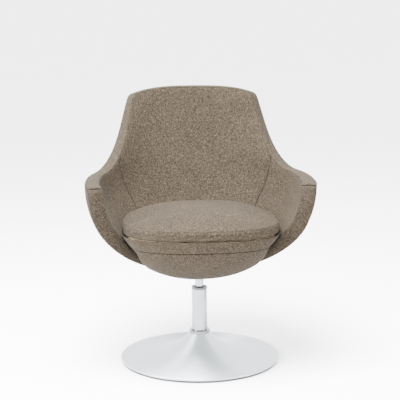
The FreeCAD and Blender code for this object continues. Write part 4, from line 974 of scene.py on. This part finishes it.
def stitch_lines():
    """All stitch lines of the seat in millimetres."""
    lines = []
    for front, sign in border_fronts:
        for from_end in (False, True):
            lines.append(lifted(front, sign)[:, nearest_column(front, from_end)][ALL_BUT_ENDS])
    for side, (front, sign) in lining_fronts.items():
        for from_end in SEAM_ENDS[side]:
            row = nearest_column(np.swapaxes(front, 0, 1), from_end)
            lines.append(lifted(front, sign)[row][ALL_BUT_ENDS])
    above = cushion_ring(CUSHION_SEAM_Z + TOP_STITCH_RISE, draw=CUSHION_DRAW + STITCH_SET)
    below = cushion_ring(CUSHION_SEAM_Z - STITCH_SET)
    lines += [snapped(above, cushion), snapped(below, cushion)]
    lines.append(apron_front[nearest_column(np.swapaxes(apron_front, 0, 1), False)])
    return lines


def lines_object(name, lines):
    """One object of loose edges, which the threads follow."""
    vertices, edges = [], []
    for line in lines:
        first = len(vertices)
        vertices += [tuple(p) for p in line * MM]
        edges += [(i, i + 1) for i in range(first, len(vertices) - 1)]
    mesh = bpy.data.meshes.new(name)
    mesh.from_pydata(vertices, edges, [])
    obj = bpy.data.objects.new(name, mesh)
    bpy.context.scene.collection.objects.link(obj)
    return obj


seat_lines = stitch_lines()
sewn_length = sum(float(np.linalg.norm(np.diff(line, axis=0), axis=1).sum()) for line in seat_lines)
print(len(seat_lines), "stitch lines are", round(sewn_length * MM, 2), "m long together")

# %% [markdown]
# ## Thread tool
# A stitch is a short thread that dives into the cloth at both ends. Hundreds of them follow lines, which
# is work for Geometry Nodes: the lines become curves with a point at each step, and one stretched ball
# is laid on every point along the curve's direction.

# %% Thread tool
BALL_SEGMENTS, BALL_RINGS, BALL_RADIUS = 8, 6, 0.5


def thread_tool(material):
    """Node group that lays threads along the edges of a mesh."""
    tree = bpy.data.node_groups.new("thread_tool", "GeometryNodeTree")
    tree.is_modifier = True
    tree.interface.new_socket("Lines", in_out="INPUT", socket_type="NodeSocketGeometry")
    for size in ("Pitch", "Length", "Thickness"):
        tree.interface.new_socket(size, in_out="INPUT", socket_type="NodeSocketFloat")
    tree.interface.new_socket("Threads", in_out="OUTPUT", socket_type="NodeSocketGeometry")
    node = tree.nodes.new
    link = tree.links.new
    given = node("NodeGroupInput")
    curve = node("GeometryNodeMeshToCurve")
    link(given.outputs["Lines"], curve.inputs["Mesh"])
    steps = node("GeometryNodeResampleCurve")
    steps.mode = "LENGTH"
    link(curve.outputs["Curve"], steps.inputs["Curve"])
    link(given.outputs["Pitch"], steps.inputs["Length"])
    tangent = node("GeometryNodeInputTangent")
    turn = node("FunctionNodeAlignRotationToVector")
    turn.axis = "Z"
    link(tangent.outputs["Tangent"], turn.inputs["Vector"])
    ball = node("GeometryNodeMeshUVSphere")
    ball.inputs["Segments"].default_value = BALL_SEGMENTS
    ball.inputs["Rings"].default_value = BALL_RINGS
    ball.inputs["Radius"].default_value = BALL_RADIUS
    scale = node("ShaderNodeCombineXYZ")
    for axis, size in (("X", "Thickness"), ("Y", "Thickness"), ("Z", "Length")):
        link(given.outputs[size], scale.inputs[axis])
    thread = node("GeometryNodeTransform")
    link(ball.outputs["Mesh"], thread.inputs["Geometry"])
    link(scale.outputs["Vector"], thread.inputs["Scale"])
    lay = node("GeometryNodeInstanceOnPoints")
    link(steps.outputs["Curve"], lay.inputs["Points"])
    link(thread.outputs["Geometry"], lay.inputs["Instance"])
    link(turn.outputs["Rotation"], lay.inputs["Rotation"])
    real = node("GeometryNodeRealizeInstances")
    link(lay.outputs["Instances"], real.inputs["Geometry"])
    paint = node("GeometryNodeSetMaterial")
    paint.inputs["Material"].default_value = material
    link(real.outputs["Geometry"], paint.inputs["Geometry"])
    out = node("NodeGroupOutput")
    link(paint.outputs["Geometry"], out.inputs["Threads"])
    return tree


# %% [markdown]
# ## Node helpers
# Every material is a handful of procedural textures that read the object's own coordinates, so it sits
# still on the piece at any pose. Building nodes takes several lines each, and a small class makes it one.

# %% Node helpers
class Shader:
    """A material with short calls for the nodes that this chair needs."""

    def __init__(self, name):
        self.material = bpy.data.materials.new(name)
        self.material.use_nodes = True
        self.tree = self.material.node_tree
        self.principled = self.tree.nodes["Principled BSDF"]

    def node(self, kind, inputs=None, **settings):
        node = self.tree.nodes.new(kind)
        for key, setting in settings.items():
            setattr(node, key, setting)
        for key, source in (inputs or {}).items():
            self.feed(node.inputs[key], source)
        return node

    def feed(self, socket, source):
        if isinstance(source, bpy.types.NodeSocket):
            self.tree.links.new(source, socket)
        else:
            socket.default_value = source

    def noise(self, scale, detail=2.0, roughness=0.5, vector=None):
        inputs = {"Scale": scale, "Detail": detail, "Roughness": roughness,
                  "Vector": vector or self.place()}
        return self.node("ShaderNodeTexNoise", inputs).outputs["Fac"]

    def place(self):
        return self.node("ShaderNodeTexCoord").outputs["Object"]

    def math(self, operation, first, second=0.0):
        return self.node("ShaderNodeMath", {0: first, 1: second}, operation=operation).outputs[0]

    def weighted(self, first, first_weight, second, second_weight):
        return self.math("ADD", self.math("MULTIPLY", first, first_weight),
                         self.math("MULTIPLY", second, second_weight))

    def ramp(self, source, stops):
        node = self.node("ShaderNodeValToRGB", {"Fac": source})
        ramp = node.color_ramp
        while len(ramp.elements) < len(stops):
            ramp.elements.new(0.5)
        for element, (position, color) in zip(ramp.elements, stops):
            element.position = position
            element.color = (*color, 1.0)
        return node.outputs["Color"]

    def multiplied(self, first, second):
        node = self.node("ShaderNodeMix", data_type="RGBA", blend_type="MULTIPLY")
        for number, source in ((0, 1.0), (6, first), (7, second)):
            self.feed(node.inputs[number], source)
        return node.outputs[2]

    def bump(self, height, strength, distance):
        node = self.node("ShaderNodeBump", {"Height": height, "Strength": strength, "Distance": distance})
        self.tree.links.new(node.outputs["Normal"], self.principled.inputs["Normal"])

    def set(self, **inputs):
        for key, source in inputs.items():
            self.feed(self.principled.inputs[key.replace("_", " ")], source)
        return self.material


def greyed(color, factor):
    return tuple(c * factor for c in color)


# %% [markdown]
# ## Tweed
# The cover is a woollen cloth in taupe, spun from dark and light fibres. A flat colour with a weave would
# look like plastic, so two noises at the scale of the yarn choose between four shades of one colour.
# The basket weave only shows in the relief. Near a seam the cloth is darker, because less
# light reaches into the fold.

# %% Tweed
CLOTH_COLOR = (0.0196, 0.0153, 0.0108)
YARN_SHADES = ((0.36, 0.22), (0.46, 0.74), (0.54, 1.22), (0.64, 2.7))
WEAR_TONES = [(0.35, (0.94, 0.94, 0.95)), (0.65, (1.05, 1.045, 1.03))]
MOTTLE_SCALE, FIBRE_SCALE, PATCH_SCALE = 230.0, 900.0, 9.0
MOTTLE_SHARE, FIBRE_SHARE = 0.72, 0.28
YARN_PITCH = 1.5
SEAM_SHADE, SEAM_SHADE_WIDTH = 0.35, 3.0
WEAVE_RELIEF, FIBRE_RELIEF, RELIEF_STRENGTH, RELIEF_DEPTH = 0.12, 1.6, 0.55, 0.0009
WOOL_SHEEN, WOOL_SHEEN_COLOR = 0.012, (0.85, 0.78, 0.66, 1)


def tweed(name, color):
    """Woollen cloth: mottled fibres, a fine basket weave and a soft sheen."""
    shader = Shader(name)
    mottle = shader.noise(MOTTLE_SCALE, 3.0, 0.8)
    fibres = shader.noise(FIBRE_SCALE, 2.0, 0.6)
    blend = shader.weighted(mottle, MOTTLE_SHARE, fibres, FIBRE_SHARE)
    yarn = shader.ramp(blend, [(position, greyed(color, shade)) for position, shade in YARN_SHADES])
    tone = shader.ramp(shader.noise(PATCH_SCALE), WEAR_TONES)
    cloth_place = shader.node("ShaderNodeAttribute", attribute_name="cloth").outputs["Vector"]
    parts = shader.node("ShaderNodeSeparateXYZ", {"Vector": cloth_place})
    turn = 2 * math.pi / (YARN_PITCH * MM)
    warp = shader.math("SINE", shader.math("MULTIPLY", parts.outputs["X"], turn))
    weft = shader.math("SINE", shader.math("MULTIPLY", parts.outputs["Y"], turn))
    relief = shader.weighted(shader.math("MULTIPLY", warp, weft), WEAVE_RELIEF, blend, FIBRE_RELIEF)
    shader.bump(relief, RELIEF_STRENGTH, RELIEF_DEPTH)
    seam = shader.node("ShaderNodeMapRange", {"Value": parts.outputs["Z"], "From Min": 0.0,
                                              "From Max": SEAM_SHADE_WIDTH * MM, "To Min": SEAM_SHADE,
                                              "To Max": 1.0}).outputs["Result"]
    return shader.set(Base_Color=shader.multiplied(shader.multiplied(yarn, tone), seam), Roughness=0.95,
                      Specular_IOR_Level=0.05, Sheen_Weight=WOOL_SHEEN, Sheen_Roughness=0.5,
                      Sheen_Tint=WOOL_SHEEN_COLOR)


def sewing_thread(name, color):
    shader = Shader(name)
    twist = shader.noise(2200.0, 1.0)
    shader.bump(twist, 0.4, 0.0003)
    return shader.set(Base_Color=shader.ramp(twist, [(0.35, greyed(color, 0.8)), (0.65, greyed(color, 1.15))]),
                      Roughness=0.7)


materials = {"cloth": tweed("tweed_taupe", CLOTH_COLOR),
             "lining_cloth": tweed("dark_lining", (0.05, 0.048, 0.045))}
thread_finish = sewing_thread("sewing_thread", greyed(CLOTH_COLOR, 0.8))
print("the cloth shades go from", YARN_SHADES[0][1], "to", YARN_SHADES[-1][1], "of its colour")

# %% [markdown]
# ## Metal
# The column is chromed and bright, and the base has a softer shine. The column's colour is much darker than
# the base's:
# a painted shade in place of darker reflections. Wiping marks and dust, as a weak noise in colour and
# roughness, keep both from looking like glass. The base was polished round and round: a radial tangent and a
# high anisotropy spread its shine from the neck to the rim.

# %% Metal
WIPE_SCALE, SCRATCH_SCALE = 14.0, 420.0
WIPE_ROUGHNESS = 0.06
SHINE_SPREAD, QUARTER_TURN = 0.85, 0.25


def plated(name, color, roughness):
    """Bright plate with a trace of wiping marks and dust."""
    shader = Shader(name)
    marks = shader.noise(WIPE_SCALE, 4.0, 0.6)
    shader.bump(shader.noise(SCRATCH_SCALE), 0.01, 0.0001)
    wiped = shader.math("ADD", shader.math("MULTIPLY", marks, WIPE_ROUGHNESS), roughness - WIPE_ROUGHNESS / 2)
    return shader.set(Base_Color=shader.ramp(marks, [(0.3, greyed(color, 0.97)), (0.7, color)]), Metallic=1.0,
                      Roughness=wiped)


def polished_round(material):
    """Turns the shine of a plate across the polishing marks, which run round +Z."""
    tree = material.node_tree
    shader = tree.nodes["Principled BSDF"]
    around = tree.nodes.new("ShaderNodeTangent")
    around.direction_type = "RADIAL"
    around.axis = "Z"
    tree.links.new(around.outputs["Tangent"], shader.inputs["Tangent"])
    shader.inputs["Anisotropic"].default_value = SHINE_SPREAD
    shader.inputs["Anisotropic Rotation"].default_value = QUARTER_TURN
    return material


satin_chrome = polished_round(plated("satin_chrome", (0.50, 0.54, 0.575), 0.52))
materials.update(
    # The column's chrome colour is darkened far below real chrome: painted shade in place of darker
    # reflections.
    chrome=plated("chrome_plate_painted_shade", (0.18, 0.188, 0.196), 0.12),
    spindle=plated("ground_steel", (0.21, 0.22, 0.23), 0.22),
    bearing=plated("bearing_steel", (0.62, 0.63, 0.65), 0.25),
    fastener=plated("zinc_plate", (0.66, 0.66, 0.62), 0.35),
)
print("the metals are done, and", len(materials), "finishes so far")

# %% [markdown]
# ## Plastic, rubber, paint, foam and wood
# The collar, the tray and the seal are black and moulded, with a fine grain that catches some light and
# a little dust that lifts the black. Foam and hook tape are coarser forms of the same. Ply has a grain
# that is stretched along the sheet.

# %% Plastic, rubber, paint, foam and wood
FINE_GRAIN, DUST_SCALE = 900.0, 35.0
PLY_STRETCH = (4.0, 60.0, 60.0)


def moulded(name, color, roughness, grain=FINE_GRAIN):
    """Plastic, rubber, paint or foam with a grain and a little dust."""
    shader = Shader(name)
    texture = shader.noise(grain)
    dust = shader.noise(DUST_SCALE, 3.0)
    dusty = tuple(c * 1.3 + 0.01 for c in color)
    shader.bump(texture, 0.15, 0.0002)
    return shader.set(Base_Color=shader.ramp(dust, [(0.4, color), (0.75, dusty)]),
                      Roughness=shader.math("ADD", shader.math("MULTIPLY", texture, 0.15), roughness - 0.07))


def ply_wood(name, color):
    shader = Shader(name)
    stretched = shader.node("ShaderNodeMapping", {"Vector": shader.place(), "Scale": PLY_STRETCH})
    grain = shader.noise(6.0, 5.0, 0.65, stretched.outputs["Vector"])
    shader.bump(grain, 0.2, 0.0004)
    return shader.set(Base_Color=shader.ramp(grain, [(0.3, greyed(color, 0.62)), (0.7, greyed(color, 1.1))]),
                      Roughness=0.6)


materials.update(
    tray=moulded("black_tray", (0.02, 0.02, 0.021), 0.6),
    seal=moulded("black_rubber", (0.018, 0.018, 0.018), 0.75),
    bush=moulded("black_bush", (0.02, 0.02, 0.022), 0.4),
    ballast=moulded("black_paint", (0.03, 0.03, 0.032), 0.5, 300.0),
    ply=ply_wood("birch_ply", (0.62, 0.45, 0.28)),
    foam=moulded("cut_foam", (0.70, 0.66, 0.50), 0.95, 500.0),
    grip=moulded("hook_tape", (0.02, 0.02, 0.02), 0.9, 1200.0),
)
print("there are", len(materials), "finishes")

# %% [markdown]
# ## Soft pieces on the chair
# The imported model has plain solids where the cloth and the foam are. Every soft piece takes the place of
# its solids and turns with the seat.

# %% Soft pieces
REPLACED = {
    "inner_back_panel": ("inner_back_lining", "shell_inner_foam"),
    "inner_arm_panel_left": ("inner_arm_lining_left",),
    "inner_arm_panel_right": ("inner_arm_lining_right",),
    "outer_back_panel": ("outer_back_cover", "shell_outer_foam"),
    "outer_side_panel_left": ("outer_side_cover_left",),
    "outer_side_panel_right": ("outer_side_cover_right",),
    "front_border_band_left": ("front_border_left",),
    "front_border_band_right": ("front_border_right",),
    "top_border_band": ("top_border",),
    "bowl_cloth": ("bowl_cover", "bowl_foam"),
    "apron_cloth": ("apron_band",),
    "seat_cushion": ("cushion_top_cover", "cushion_side_band", "cushion_base_cover", "cushion_foam"),
}
for name, nodes in REPLACED.items():
    piece = panels[name]
    piece.data.materials.clear()
    piece.data.materials.append(materials["cloth"])
    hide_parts(*nodes)
    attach(piece, "seat")
print(len(REPLACED), "soft pieces stand for", sum(len(nodes) for nodes in REPLACED.values()), "solids")

# %% [markdown]
# ## Stitches on the chair
# The thread is a shade darker than the cloth, so that the rows show only from near, as on the real
# chair. The modifier's inputs are set by their identifiers before the object is first evaluated, and
# the result is kept as one plain mesh.

# %% Stitches
STITCH_SIZES = {"Pitch": 5.2, "Length": 3.4, "Thickness": 0.55}
BALL_FACES = BALL_SEGMENTS * BALL_RINGS


def laid_threads(name, lines, material):
    rows = lines_object(name + "_lines", lines)
    tool = rows.modifiers.new("threads", "NODES")
    tool.node_group = thread_tool(material)
    for item in tool.node_group.interface.items_tree:
        if item.item_type == "SOCKET" and item.in_out == "INPUT" and item.name in STITCH_SIZES:
            tool[item.identifier] = STITCH_SIZES[item.name] * MM
    laid = applied(rows, name)
    smooth(laid.data)
    return laid


threads = laid_threads("seat_stitches", seat_lines, thread_finish)
print("the thread tool has", len(bpy.data.node_groups["thread_tool"].nodes), "nodes")
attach(threads, "seat")
print("there are", len(threads.data.polygons) // BALL_FACES, "stitches")

# %% [markdown]
# ## Hard pieces
# The model's own record says which finish each piece has. Only the base cover differs: it is of the same
# chromed steel as the column, but it is polished round and round. It keeps a lighter colour, because the
# column's chrome has painted shade in its colour.

# %% Hard pieces
for entry in frame["record"]["subparts"]:
    mesh = frame["nodes"][entry["node"]].data
    mesh.materials.clear()
    mesh.materials.append(satin_chrome if entry["node"] == "base_cover" else materials[entry["material_slot"]])
